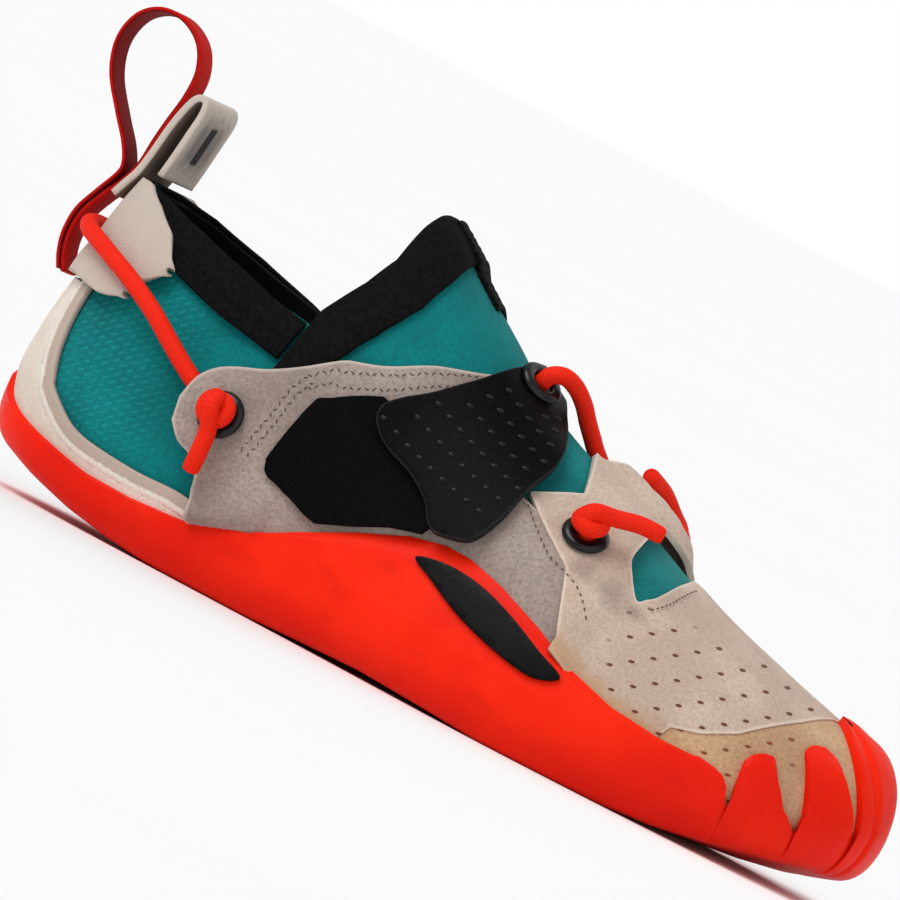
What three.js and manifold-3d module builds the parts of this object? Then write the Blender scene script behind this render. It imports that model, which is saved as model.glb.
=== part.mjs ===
// Climbing shoe for a child's right foot: a stretch bootie under suede, on a wrapped rubber sole with lobes.
// +X points to the toe, +Y to the inner (medial) side, +Z up. The lateral side faces -Y. Lengths are in mm.

import * as THREE from 'three';
import { mergeVertices } from 'three/addons/utils/BufferGeometryUtils.js';
import Module from 'manifold-3d';

const wasm = await Module();
wasm.setup();

// Driving sizes of the last
const lastLength = 197.8;
const ballWidth = 70;
const ankleHeight = 86;

// Walls, layers and clearances
const upperWall = 1.6;
const tongueWall = 1.2;
const suedeWall = 1.3;
const rubberWall = 2.3;
const soleThickness = 4.2;
const insoleThickness = 2;
const bindingWall = 1.1;
const patchWall = 0.9;
const strapWall = 1.5;
const cordSize = 3.6;
const clearance = 0.3;

// Sections of the last, from the heel to the tip of the big toe.
// outerX, innerX: place of the widest point along the last, as a share of its length.
// outerY, innerY: its distance from the heel's middle line, as a share of the ball width.
// wide: height of the widest point, and top: height of the section's top, as shares of the ankle height.
// tuck: how far the feather edge lies inside the widest point, as a share of the ball width.
// crestX, crestY, crestHalf: the top point, and its half width where the ankle is open, as the same shares.
// rise, lean: upright and inward reach of the side, and crown, drop: outward and downward reach of the top.
const sections = [
  { outerX: 0.011, outerY: 0, innerX: 0.011, innerY: 0, wide: 0.3, tuck: 0.16,
    crestX: 0.058, crestY: 0, crestHalf: 0, top: 1, rise: 0.35, lean: 0.05, crown: 0.1, drop: 0.4 },
  { outerX: 0.028, outerY: -0.176, innerX: 0.028, innerY: 0.176, wide: 0.29, tuck: 0.15,
    crestX: 0.068, crestY: 0, crestHalf: 0.098, top: 1, rise: 0.35, lean: 0.05, crown: 0.1, drop: 0.4 },
  { outerX: 0.073, outerY: -0.28, innerX: 0.073, innerY: 0.275, wide: 0.27, tuck: 0.12,
    crestX: 0.098, crestY: 0, crestHalf: 0.165, top: 1, rise: 0.35, lean: 0.07, crown: 0.1, drop: 0.4 },
  { outerX: 0.147, outerY: -0.335, innerX: 0.147, innerY: 0.32, wide: 0.24, tuck: 0.1,
    crestX: 0.16, crestY: 0, crestHalf: 0.205, top: 1, rise: 0.34, lean: 0.08, crown: 0.12, drop: 0.38 },
  { outerX: 0.243, outerY: -0.352, innerX: 0.238, innerY: 0.317, wide: 0.21, tuck: 0.09,
    crestX: 0.25, crestY: 0, crestHalf: 0.19, top: 1, rise: 0.34, lean: 0.08, crown: 0.16, drop: 0.36 },
  { outerX: 0.354, outerY: -0.374, innerX: 0.344, innerY: 0.283, wide: 0.185, tuck: 0.08,
    crestX: 0.334, crestY: 0.014, crestHalf: 0, top: 0.994, rise: 0.42, lean: 0.12, crown: 0.6, drop: 0.03 },
  { outerX: 0.465, outerY: -0.417, innerX: 0.465, innerY: 0.276, wide: 0.17, tuck: 0.075,
    crestX: 0.445, crestY: 0.029, crestHalf: 0, top: 0.826, rise: 0.42, lean: 0.12, crown: 0.54, drop: 0.05 },
  { outerX: 0.566, outerY: -0.474, innerX: 0.576, innerY: 0.326, wide: 0.16, tuck: 0.07,
    crestX: 0.541, crestY: 0.043, crestHalf: 0, top: 0.692, rise: 0.46, lean: 0.12, crown: 0.5, drop: 0.06 },
  { outerX: 0.667, outerY: -0.506, innerX: 0.688, innerY: 0.426, wide: 0.15, tuck: 0.065,
    crestX: 0.652, crestY: 0.064, crestHalf: 0, top: 0.6, rise: 0.52, lean: 0.1, crown: 0.5, drop: 0.05 },
  { outerX: 0.758, outerY: -0.467, innerX: 0.786, innerY: 0.503, wide: 0.15, tuck: 0.065,
    crestX: 0.748, crestY: 0.093, crestHalf: 0, top: 0.503, rise: 0.56, lean: 0.08, crown: 0.54, drop: 0.03 },
  { outerX: 0.842, outerY: -0.379, innerX: 0.87, innerY: 0.51, wide: 0.16, tuck: 0.075,
    crestX: 0.829, crestY: 0.129, crestHalf: 0, top: 0.444, rise: 0.58, lean: 0.06, crown: 0.56, drop: 0.02 },
  { outerX: 0.91, outerY: -0.263, innerX: 0.933, innerY: 0.454, wide: 0.17, tuck: 0.09,
    crestX: 0.885, crestY: 0.157, crestHalf: 0, top: 0.407, rise: 0.6, lean: 0.05, crown: 0.58, drop: 0 },
  { outerX: 0.96, outerY: -0.111, innerX: 0.976, innerY: 0.357, wide: 0.19, tuck: 0.11,
    crestX: 0.92, crestY: 0.171, crestHalf: 0, top: 0.387, rise: 0.6, lean: 0.05, crown: 0.6, drop: 0 },
  { outerX: 0.992, outerY: 0.036, innerX: 0.995, innerY: 0.257, wide: 0.205, tuck: 0.13,
    crestX: 0.942, crestY: 0.179, crestHalf: 0, top: 0.376, rise: 0.6, lean: 0.05, crown: 0.6, drop: 0 },
  { outerX: 1, outerY: 0.15, innerX: 1, innerY: 0.15, wide: 0.21, tuck: 0.14,
    crestX: 0.955, crestY: 0.183, crestHalf: 0, top: 0.367, rise: 0.6, lean: 0.05, crown: 0.6, drop: 0 },
];
const tip = sections.length - 1;
const round = 2 * tip;
const closing = 5;

// The underside's height along the sole: heel curve, heel flat, low arch, forefoot flat and toe spring.
const underside = [
  { at: 0, height: 0.17 }, { at: 0.025, height: 0.128 }, { at: 0.05, height: 0.09 },
  { at: 0.1, height: 0.056 }, { at: 0.15, height: 0.03 }, { at: 0.205, height: 0.011 },
  { at: 0.25, height: 0.002 }, { at: 0.275, height: 0 }, { at: 0.375, height: 0 },
  { at: 0.43, height: 0.007 }, { at: 0.52, height: 0.015 }, { at: 0.61, height: 0.008 },
  { at: 0.67, height: 0 }, { at: 0.8, height: 0 }, { at: 0.85, height: 0.009 },
  { at: 0.9, height: 0.03 }, { at: 0.95, height: 0.062 }, { at: 1, height: 0.1 },
];

// Straight interpolation of a table's column at a place along it
function readTable(table, place, key, column) {
  const last = table.length - 1;
  if (place <= table[0][key]) return table[0][column];
  if (place >= table[last][key]) return table[last][column];
  const row = table.findIndex((entry) => entry[key] > place);
  const before = table[row - 1];
  const after = table[row];
  const share = (place - before[key]) / (after[key] - before[key]);
  return before[column] + share * (after[column] - before[column]);
}

function undersideHeight(x) {
  return ankleHeight * readTable(underside, x / lastLength, 'at', 'height');
}

// Curves round the last: its widest line, and the line of the tops, which closes to a ridge along the instep
function edgePoint(index) {
  const outer = index <= tip;
  const section = sections[outer ? index : round - index];
  const x = outer ? section.outerX : section.innerX;
  const y = outer ? section.outerY : section.innerY;
  return new THREE.Vector3(x * lastLength, y * ballWidth, section.wide * ankleHeight);
}
const edgePoints = Array.from({ length: round }, (_, index) => edgePoint(index));
const edgeLine = new THREE.CatmullRomCurve3(edgePoints, true, 'catmullrom', 0.5);

function crestPoint(index, side) {
  const section = sections[index];
  const y = (section.crestY + side * section.crestHalf) * ballWidth;
  return new THREE.Vector3(section.crestX * lastLength, y, section.top * ankleHeight);
}
const anklePoints = [];
for (let index = closing; index > 0; index -= 1) anklePoints.push(crestPoint(index, 1));
for (let index = 0; index <= closing; index += 1) anklePoints.push(crestPoint(index, -1));
const ankleLine = new THREE.CatmullRomCurve3(anklePoints, false, 'catmullrom', 0.5);
const ridgePoints = [];
for (let index = closing; index <= tip; index += 1) ridgePoints.push(crestPoint(index, 0));
for (let index = tip - 1; index >= closing; index -= 1) ridgePoints.push(crestPoint(index, 0));
const ridgeLine = new THREE.CatmullRomCurve3(ridgePoints, false, 'catmullrom', 0.5);

function shapeCurve(column) {
  const points = sections.map((section, index) => new THREE.Vector2(index, section[column]));
  return new THREE.SplineCurve(points);
}
const shape = {};
for (const column of ['tuck', 'rise', 'lean', 'crown', 'drop']) shape[column] = shapeCurve(column);

const fine = 1e6;
const rowOf = (place) => Math.round(Math.min(place, round - place) * fine) / fine;
const shapeAt = (column, place) => shape[column].getPoint(rowOf(place) / tip).y;

function crestAt(place) {
  const row = rowOf(place);
  if (row >= closing) return ridgeLine.getPoint((row - closing) / (ridgePoints.length - 1));
  const step = place <= tip ? closing + row : closing - row;
  return ankleLine.getPoint(step / (anklePoints.length - 1));
}

// The way in from the widest line, level, square to it
function inward(place) {
  const tangent = edgeLine.getTangent((place / round) % 1);
  return new THREE.Vector3(-tangent.y, tangent.x, 0).normalize();
}

// Feather edge, where the upper's side turns in under the foot
function featherAt(place, tuckIn = shapeAt('tuck', place) * ballWidth) {
  const edge = edgeLine.getPoint((place / round) % 1);
  const point = edge.clone().addScaledVector(inward(place), tuckIn);
  point.z = undersideHeight(point.x) + soleThickness + clearance;
  return point;
}

// A point of the last. place runs round it (0 heel, tip toe, lateral side first), and level up each section:
// -1 is the feather edge, 0 the widest line and 1 the top.
const ribs = new Map();
function ribAt(place) {
  if (ribs.has(place)) return ribs.get(place);
  const edge = edgeLine.getPoint((place / round) % 1);
  const crest = crestAt(place);
  const height = crest.z - edge.z;
  const across = new THREE.Vector3(crest.x - edge.x, crest.y - edge.y, 0);
  const side = edge.clone().addScaledVector(across, shapeAt('lean', place));
  side.z += shapeAt('rise', place) * height;
  const shoulder = crest.clone().addScaledVector(across, -shapeAt('crown', place));
  shoulder.z -= shapeAt('drop', place) * height;
  const curve = new THREE.CubicBezierCurve3(edge, side, shoulder, crest);
  const rib = { edge, feather: featherAt(place), curve };
  ribs.set(place, rib);
  return rib;
}
function lastPoint(place, level) {
  const rib = ribAt(place);
  if (level >= 0) return rib.curve.getPoint(level);
  const turn = (1 + level) * Math.PI / 2;
  const point = rib.feather.clone().lerp(rib.edge, Math.sin(turn));
  point.z = rib.feather.z + (rib.edge.z - rib.feather.z) * (1 - Math.cos(turn));
  return point;
}

const step = 0.02;
function oneNormal(place, level) {
  const wrapped = (place + round) % round;
  const behind = lastPoint((wrapped - step + round) % round, level);
  const ahead = lastPoint((wrapped + step) % round, level).sub(behind);
  const above = lastPoint(wrapped, Math.min(level + step, 1));
  const up = above.sub(lastPoint(wrapped, Math.max(level - step, -1)));
  return ahead.cross(up).normalize();
}
function lastNormal(place, level) {
  const normal = oneNormal(place, level);
  if (level < 1 || rowOf(place) < closing) return normal;
  return normal.add(oneNormal(round - place, level)).normalize();
}
function skin(place, level, offset) {
  return lastPoint(place, level).addScaledVector(lastNormal(place, level), offset);
}

// The level at which a section reaches a height
function levelAtHeight(place, height) {
  let low = -1;
  let high = 1;
  for (let turn = 0; turn < 24; turn += 1) {
    const middle = (low + high) / 2;
    if (lastPoint(place, middle).z < height) low = middle;
    else high = middle;
  }
  return (low + high) / 2;
}

// Closed bodies from faces: corners that meet are joined, and faces without area are dropped
function closeBody(corners) {
  const loose = new THREE.BufferGeometry();
  loose.setAttribute('position', new THREE.Float32BufferAttribute(corners, 3));
  const merged = mergeVertices(loose, 1e-4);
  const faces = Array.from(merged.index.array);
  const kept = [];
  for (let face = 0; face < faces.length; face += 3) {
    const [a, b, c] = faces.slice(face, face + 3);
    if (a !== b && b !== c && c !== a) kept.push(a, b, c);
  }
  merged.setIndex(kept);
  return merged;
}
function addFace(corners, ...points) {
  for (const point of points) corners.push(point.x, point.y, point.z);
}
function addQuad(corners, a, b, c, d) {
  addFace(corners, a, b, c);
  addFace(corners, a, c, d);
}

// A shell between an outer and an inner face over a run of places.
// Each face gives one point for a place and a step up. onRidge says where both sides share the top line,
// and onSpine that both sides share the lowest one.
function shellFaces({ places, steps, outer, inner, closed = false, onRidge = () => false, onSpine = false }) {
  const corners = [];
  const outside = places.map((place) => steps.map((_, index) => outer(place, index)));
  const inside = places.map((place) => steps.map((_, index) => inner(place, index)));
  const top = steps.length - 1;
  const runs = closed ? places.length : places.length - 1;
  for (let run = 0; run < runs; run += 1) {
    const next = (run + 1) % places.length;
    const [face, nextFace] = [outside[run], outside[next]];
    const [back, nextBack] = [inside[run], inside[next]];
    for (let index = 0; index < top; index += 1) {
      addQuad(corners, face[index], nextFace[index], nextFace[index + 1], face[index + 1]);
      addQuad(corners, back[index], back[index + 1], nextBack[index + 1], nextBack[index]);
    }
    const shared = onRidge(places[run]) && onRidge(places[next]);
    if (!shared) addQuad(corners, face[top], nextFace[top], nextBack[top], back[top]);
    if (!onSpine) addQuad(corners, face[0], back[0], nextBack[0], nextFace[0]);
  }
  if (!closed) {
    const [face, back] = [outside[0], inside[0]];
    const [endFace, endBack] = [outside[places.length - 1], inside[places.length - 1]];
    for (let index = 0; index < top; index += 1) {
      addQuad(corners, face[index], face[index + 1], back[index + 1], back[index]);
      addQuad(corners, endFace[index], endBack[index], endBack[index + 1], endFace[index + 1]);
    }
  }
  return corners;
}

function evenly(from, to, count) {
  return Array.from({ length: count + 1 }, (_, index) => from + (to - from) * index / count);
}

// A layer of the shoe's side: rows run from rear(level) to front(level), levels from low(row) to high(row),
// and offset(row, level) is the height of its inner face over the last.
// A layer over the instep is made of a lateral and a medial half that share the ridge.
function layer({ rear, front, low, high, offset, wall, columns, rows, sides = ['lateral', 'medial'] }) {
  const steps = evenly(0, 1, rows);
  const corners = [];
  for (const side of sides) {
    const point = (share, index, depth) => {
      const lateral = side === 'lateral';
      const along = lateral ? share : 1 - share;
      const guess = rear(0.5) + (front(0.5) - rear(0.5)) * along;
      const start = rear(low(guess, side)) + (front(low(guess, side)) - rear(low(guess, side))) * along;
      const level = low(start, side) + (high(start) - low(start, side)) * steps[index];
      const row = rear(level) + (front(level) - rear(level)) * along;
      return skin(lateral ? row : round - row, level, offset(row, level, side) + depth);
    };
    corners.push(...shellFaces({
      places: evenly(0, 1, columns),
      steps,
      outer: (share, index) => point(share, index, wall),
      inner: (share, index) => point(share, index, 0),
      onRidge: () => high((rear(1) + front(1)) / 2) === 1,
    }));
  }
  return closeBody(corners);
}

// Solids for cutting and joining
function toSolid(geometry) {
  const bare = new THREE.BufferGeometry();
  bare.setAttribute('position', geometry.getAttribute('position').clone());
  if (geometry.index) bare.setIndex(geometry.index.clone());
  const merged = mergeVertices(bare, 1e-4);
  return new wasm.Manifold(new wasm.Mesh({
    numProp: 3,
    vertProperties: new Float32Array(merged.getAttribute('position').array),
    triVerts: new Uint32Array(merged.index.array),
  }));
}
function fromSolid(solid) {
  const mesh = solid.getMesh();
  const geometry = new THREE.BufferGeometry();
  geometry.setAttribute('position', new THREE.BufferAttribute(new Float32Array(mesh.vertProperties), 3));
  geometry.setIndex(new THREE.BufferAttribute(new Uint32Array(mesh.triVerts), 1));
  return geometry;
}
function largest(solid) {
  return solid.decompose().sort((one, other) => other.volume() - one.volume())[0];
}

// Pattern pieces are cut through the shoe's side along a level direction turned towards the toe.
// An outline's points are shares of the last's length and of the ankle height, seen in that direction.
const patternTurn = THREE.MathUtils.degToRad(20);
const patternShift = 1.4;
const patternDepth = 120;
function patternOutline(points) {
  return points.map(([across, up]) => new THREE.Vector2(across * lastLength, up * ankleHeight));
}
function cutter(points, side = 'lateral', smooth = true) {
  const outline = patternOutline(points);
  const curve = new THREE.SplineCurve([...outline, outline[0]]);
  const shape = new THREE.Shape(smooth ? curve.getPoints(outline.length * 2).slice(0, -1) : outline);
  const prism = new THREE.ExtrudeGeometry(shape, { depth: patternDepth, bevelEnabled: false, steps: 1 });
  const across = new THREE.Vector3(Math.cos(patternTurn), Math.sin(patternTurn), 0);
  const back = new THREE.Vector3(Math.sin(patternTurn), -Math.cos(patternTurn), 0);
  const place = new THREE.Matrix4().makeBasis(across, new THREE.Vector3(0, 0, 1), back);
  place.setPosition(across.clone().multiplyScalar(-patternShift));
  prism.applyMatrix4(place);
  if (side === 'lateral') return toSolid(prism);
  return toSolid(prism).mirror([0, 1, 0]);
}

// Places round the last: close together at the toes, where the rubber has its lobes
const toeFrom = 10.6;
const lobeRows = [
  toeFrom, 10.76, 10.88, 10.97, 11.1, 11.25, 11.4, 11.53, 11.62, 11.69, 11.8, 11.92, 12.05, 12.15,
  12.22, 12.32,
];
function placesRound(middle, toeRows) {
  const half = [
    ...evenly(0, closing, middle).slice(0, -1),
    ...evenly(closing, toeFrom, middle).slice(0, -1),
    ...toeRows,
  ];
  return [...half, ...half.slice(1, -1).reverse().map((place) => round - place)];
}

const parts = new THREE.Group();
function addPart(name, geometry, finish) {
  const mesh = new THREE.Mesh(geometry, new THREE.MeshStandardMaterial({ ...finish, metalness: 0 }));
  mesh.name = name;
  parts.add(mesh);
}

const finishes = {
  rubber: { color: 0xee2a10, roughness: 0.55 },
  stretch: { color: 0x00797c, roughness: 0.9 },
  suede: { color: 0xcdb4a5, roughness: 0.95 },
  cream: { color: 0xebe1d2, roughness: 0.95 },
  binding: { color: 0x0c0c0e, roughness: 0.8 },
  strap: { color: 0x101012, roughness: 0.5 },
  cord: { color: 0xf23214, roughness: 0.8 },
  webbing: { color: 0xc01218, roughness: 0.8 },
  lining: { color: 0x3a3a3c, roughness: 0.95 },
  hardPlastic: { color: 0x0a0a0b, roughness: 0.35 },
};

// Sole: outsole and wrapped rand in one piece of rubber. Its top edge is low at the heel, climbs over the
// arch,
// and ends in five lobes over the toes. outer and inner: the edge's height on each side, as shares of the
// ankle
// height, and 1 where it wraps over the ridge.
const rubberEdge = [
  { row: 0, outer: 0.235, inner: 0.235 }, { row: 0.8, outer: 0.203, inner: 0.203 },
  { row: 1.5, outer: 0.18, inner: 0.18 }, { row: 2.4, outer: 0.152, inner: 0.152 },
  { row: 3.1, outer: 0.128, inner: 0.128 }, { row: 3.7, outer: 0.124, inner: 0.124 },
  { row: 4.3, outer: 0.133, inner: 0.14 }, { row: 5, outer: 0.178, inner: 0.19 },
  { row: 5.4, outer: 0.23, inner: 0.24 }, { row: 5.9, outer: 0.288, inner: 0.295 },
  { row: 6.4, outer: 0.334, inner: 0.34 }, { row: 6.8, outer: 0.351, inner: 0.355 },
  { row: 7.1, outer: 0.35, inner: 0.35 }, { row: 7.5, outer: 0.328, inner: 0.325 },
  { row: 8.1, outer: 0.282, inner: 0.285 }, { row: 8.6, outer: 0.236, inner: 0.25 },
  { row: 9.2, outer: 0.203, inner: 0.215 }, { row: 9.8, outer: 0.191, inner: 0.2 },
  { row: 10.4, outer: 0.193, inner: 0.2 }, { row: 10.76, outer: 0.187, inner: 0.21 },
  { row: 10.88, outer: 0.18, inner: 0.225 }, { row: 10.97, outer: 0.245, inner: 0.275 },
  { row: 11.1, outer: 0.268, inner: 0.315 }, { row: 11.25, outer: 0.272, inner: 0.335 },
  { row: 11.4, outer: 0.262, inner: 0.35 }, { row: 11.53, outer: 0.243, inner: 0.358 },
  { row: 11.62, outer: 0.22, inner: 0.364 }, { row: 11.69, outer: 0.312, inner: 0.368 },
  { row: 11.8, outer: 0.336, inner: 0.372 }, { row: 11.92, outer: 0.342, inner: 0.375 },
  { row: 12.05, outer: 0.338, inner: 0.379 }, { row: 12.15, outer: 0.328, inner: 0.381 },
  { row: 12.22, outer: 0.318, inner: 0.383 },
];
const wrapRow = 12.32;
function rubberHeight(place) {
  return ankleHeight * readTable(rubberEdge, rowOf(place), 'row', place <= tip ? 'outer' : 'inner');
}
function rubberLevel(place) {
  return rowOf(place) >= wrapRow ? 1 : levelAtHeight(place, rubberHeight(place));
}

// Grooves between the toe lobes, leaning back as they rise: row at the foot and at the top of each
const grooves = [
  { side: 'lateral', foot: 10.9, head: 10.85, footLevel: -0.4, headLevel: 0.2 },
  { side: 'lateral', foot: 12, head: 11.6, footLevel: -0.3, headLevel: 0.4 },
  { side: 'lateral', foot: 13.2, head: 12.2, footLevel: -0.3, headLevel: 0.5 },
  { side: 'lateral', foot: 14, head: 12.5, footLevel: -0.3, headLevel: 0.9 },
  { side: 'medial', foot: 10.9, head: 10.9, footLevel: -0.4, headLevel: 0.2 },
];
const grooveWidth = 0.16;
const grooveDepth = 0.5;
const grooveLevels = { start: -0.8, fade: 0.85 };
function grooveAt(place, level) {
  let depth = 0;
  for (const groove of grooves) {
    const rise = (level - groove.footLevel) / (groove.headLevel - groove.footLevel);
    const share = THREE.MathUtils.clamp(rise, 0, 1);
    const row = groove.foot + (groove.head - groove.foot) * share;
    const middle = groove.side === 'lateral' ? row : round - row;
    const begun = THREE.MathUtils.smoothstep(level, grooveLevels.start, groove.footLevel);
    const ending = THREE.MathUtils.smoothstep(level, grooveLevels.fade, 1);
    const across = Math.exp(-(((place - middle) / grooveWidth) ** 2));
    depth = Math.max(depth, begun * (1 - ending) * across);
  }
  return grooveDepth * depth;
}

// Rib of the sole: spine and floor line below, then round the corner and up over the last
const floorSteps = 2;
const cornerSteps = 4;
const sideSteps = 5;
const soleSteps = floorSteps + cornerSteps + sideSteps;
const floorTuck = 2.6;
const cornerPower = 0.8;
function floorPoint(place) {
  const tuckIn = shapeAt('tuck', place) * ballWidth - floorTuck;
  const point = featherAt(place, tuckIn);
  point.z = undersideHeight(point.x);
  return point;
}
function spinePoint(place, lift) {
  const point = floorPoint(place).add(floorPoint((round - place) % round)).multiplyScalar(0.5);
  point.z = undersideHeight(point.x) + lift;
  return point;
}
function rubberOffset(place, level) {
  return clearance + rubberWall * (1 - grooveAt(place, level));
}
const rubberTaper = 0.4;
const taperFrom = 0.7;
function soleOuter(place, index) {
  if (index === 0) return spinePoint(place, 0);
  const floor = floorPoint(place);
  if (index < floorSteps) {
    const point = spinePoint(place, 0).lerp(floor, index / floorSteps);
    point.z = undersideHeight(point.x);
    return point;
  }
  if (index === floorSteps) return floor;
  const low = Math.min(rubberLevel(place), 0);
  if (index <= floorSteps + cornerSteps) {
    const side = skin(place, low, rubberOffset(place, low));
    const turn = (index - floorSteps) / cornerSteps * Math.PI / 2;
    const point = floor.clone().lerp(side, Math.sin(turn) ** cornerPower);
    point.z = floor.z + (side.z - floor.z) * (1 - Math.cos(turn) ** cornerPower);
    return point;
  }
  const share = (index - floorSteps - cornerSteps) / sideSteps;
  const level = low + (rubberLevel(place) - low) * share;
  const edge = rubberLevel(place) < 1 ? rubberTaper * THREE.MathUtils.smoothstep(share, taperFrom, 1) : 0;
  return skin(place, level, rubberOffset(place, level) - edge * rubberWall);
}
function soleInner(place, index) {
  const spine = spinePoint(place, soleThickness + clearance);
  if (index <= floorSteps) return spine.lerp(featherAt(place), index / floorSteps);
  const turned = index - floorSteps;
  const low = Math.min(rubberLevel(place), 0);
  if (turned <= cornerSteps) return skin(place, -1 + (1 + low) * turned / cornerSteps, 0);
  return skin(place, low + (rubberLevel(place) - low) * (turned - cornerSteps) / sideSteps, 0);
}

// The upper's steps: round the feather corner, then up the wall to the collar, the throat or the ridge
const throatRow = 7.4;
const throatSnap = 0.3;
const collar = [
  { row: 0, height: 0.765 }, { row: 1, height: 0.762 }, { row: 2, height: 0.748 }, { row: 3, height: 0.715 },
  { row: 4, height: 0.67 }, { row: 5, height: 0.64 }, { row: 6, height: 0.66 }, { row: 6.8, height: 0.672 },
];
const collarHeight = (row) => readTable(collar, row, 'row', 'height') * ankleHeight;
function upperTop(place) {
  const row = rowOf(place);
  if (row >= throatRow) return 1;
  const level = levelAtHeight(place, collarHeight(row));
  const last = collar[collar.length - 1].row;
  if (row <= last) return level;
  const share = (row - last) / (throatRow - last);
  return level + (1 - level) * Math.sqrt(share);
}
const wallSteps = 5;
const upperSteps = evenly(0, 1, cornerSteps + wallSteps);
function upperLevel(place, index) {
  if (index <= cornerSteps) return -1 + index / cornerSteps;
  return upperTop(place) * (index - cornerSteps) / wallSteps;
}
function snapToThroat(place) {
  if (Math.abs(rowOf(place) - throatRow) > throatSnap) return place;
  return place <= tip ? throatRow : round - throatRow;
}
const upperPlaces = [...new Set(placesRound(9, evenly(toeFrom, tip, 7)).map(snapToThroat))];

// The filled form of the upper, grown by an offset: what lies over the upper is cut clear with it
function filledForm(offset) {
  const levels = [...upperSteps, 1];
  const topPoint = (place) => skin(place, upperLevel(place, upperSteps.length - 1), offset);
  const middle = (place) => topPoint(place).add(topPoint((round - place) % round)).multiplyScalar(0.5);
  const lift = soleThickness + clearance - offset;
  return toSolid(closeBody(shellFaces({
    places: upperPlaces,
    steps: levels,
    outer: (place, index) => {
      if (index === 0) return spinePoint(place, lift);
      return skin(place, upperLevel(place, index - 1), offset);
    },
    inner: middle,
    closed: true,
    onSpine: true,
  })));
}
const clearForm = filledForm(clearance);
const clearOfUpper = (geometry) => fromSolid(largest(toSolid(geometry).subtract(clearForm)));

const solePlaces = placesRound(9, [...lobeRows, ...evenly(wrapRow, tip, 6).slice(1)]);
addPart('sole', clearOfUpper(closeBody(shellFaces({
  places: solePlaces,
  steps: evenly(0, 1, soleSteps),
  outer: soleOuter,
  inner: soleInner,
  closed: true,
  onRidge: (place) => rowOf(place) >= wrapRow,
  onSpine: true,
}))), finishes.rubber);

// Upper: one hollow wall, open at the collar and throat, and underneath where the sole closes it.
// Its collar falls from the heel to the notch at the tongue, and runs on under the tongue to the throat's
// point.
addPart('upper', closeBody(shellFaces({
  places: upperPlaces,
  steps: upperSteps,
  outer: (place, index) => skin(place, upperLevel(place, index), 0),
  inner: (place, index) => skin(place, upperLevel(place, index), -upperWall),
  closed: true,
  onRidge: (place) => rowOf(place) >= throatRow,
})), finishes.stretch);

// Insole: a thin board that lies on the upper's turned edge
const insoleLift = soleThickness + 2 * clearance + upperWall;
const insoleInset = 3.8;
const insoleTopLevel = -0.2;
function insoleEdge(place, lift) {
  const board = undersideHeight(lastPoint(place, -1).x) + insoleLift + insoleThickness / 2;
  const level = Math.min(levelAtHeight(place, board), insoleTopLevel);
  const point = skin(place, level, -upperWall - insoleInset);
  point.z = undersideHeight(point.x) + lift;
  return point;
}
function insolePoint(place, index, lift) {
  const spine = insoleEdge(place, lift).add(insoleEdge((round - place) % round, lift)).multiplyScalar(0.5);
  spine.z = undersideHeight(spine.x) + lift;
  return index === 0 ? spine : insoleEdge(place, lift);
}
addPart('insole', closeBody(shellFaces({
  places: placesRound(9, evenly(toeFrom, tip, 7)),
  steps: [0, 1],
  outer: (place, index) => insolePoint(place, index, insoleLift),
  inner: (place, index) => insolePoint(place, index, insoleLift + insoleThickness),
  closed: true,
  onSpine: true,
})), finishes.lining);

// Tongue: the front of the bootie, an arch over the instep that rises to a peak.
// Its rim leans forward as it rises. row: place of the rim on the last at a level.
const tongueRim = [
  { level: 0.2, row: 4.25 }, { level: 0.38, row: 4.4 }, { level: 0.54, row: 4.5 }, { level: 0.62, row: 4.75 },
  { level: 0.7, row: 4.88 }, { level: 0.85, row: 4.9 }, { level: 0.95, row: 4.94 }, { level: 1, row: 5 },
];
const rimRow = (level) => readTable(tongueRim, level, 'level', 'row');
const tongueFront = 8;
const tongueFoot = 0.45;
addPart('tongue', layer({
  rear: rimRow,
  front: () => tongueFront,
  low: (row) => levelAtHeight(row, tongueFoot * ankleHeight),
  high: () => 1,
  offset: () => clearance,
  wall: tongueWall,
  columns: 9,
  rows: 8,
}), finishes.stretch);

// Layers over the last, from the inside out: heights of their inner faces
const overTongue = 2 * clearance + tongueWall;

// Bindings: a black band round the rear collar up to the tongue's rim, and one along that rim
const collarBand = 7.5;
const rimGap = 0.03;
const collarColumns = 18;
const collarSteps = evenly(0, 1, 3);
function collarPoint(share, index, depth) {
  const turn = 2 * share - 1;
  const guess = Math.abs(turn) * closing;
  const top = collarHeight(guess) - collarBand * (1 - collarSteps[index]);
  const level = levelAtHeight(guess, top);
  const row = Math.abs(turn) * (rimRow(level) - rimGap);
  const fitted = levelAtHeight(row, top);
  return skin(turn < 0 ? (round - row) % round : row, fitted, depth);
}
addPart('collar_binding', closeBody(shellFaces({
  places: evenly(0, 1, collarColumns),
  steps: collarSteps,
  outer: (share, index) => collarPoint(share, index, clearance + bindingWall),
  inner: (share, index) => collarPoint(share, index, clearance),
})), finishes.binding);

const rimBand = 0.42;
const bandFoot = 0.02;
addPart('tongue_binding', layer({
  rear: rimRow,
  front: (level) => rimRow(level) + rimBand,
  low: (row) => levelAtHeight(row, tongueFoot * ankleHeight) + bandFoot,
  high: () => 1,
  offset: () => overTongue,
  wall: bindingWall,
  columns: 3,
  rows: 8,
}), finishes.binding);

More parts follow.
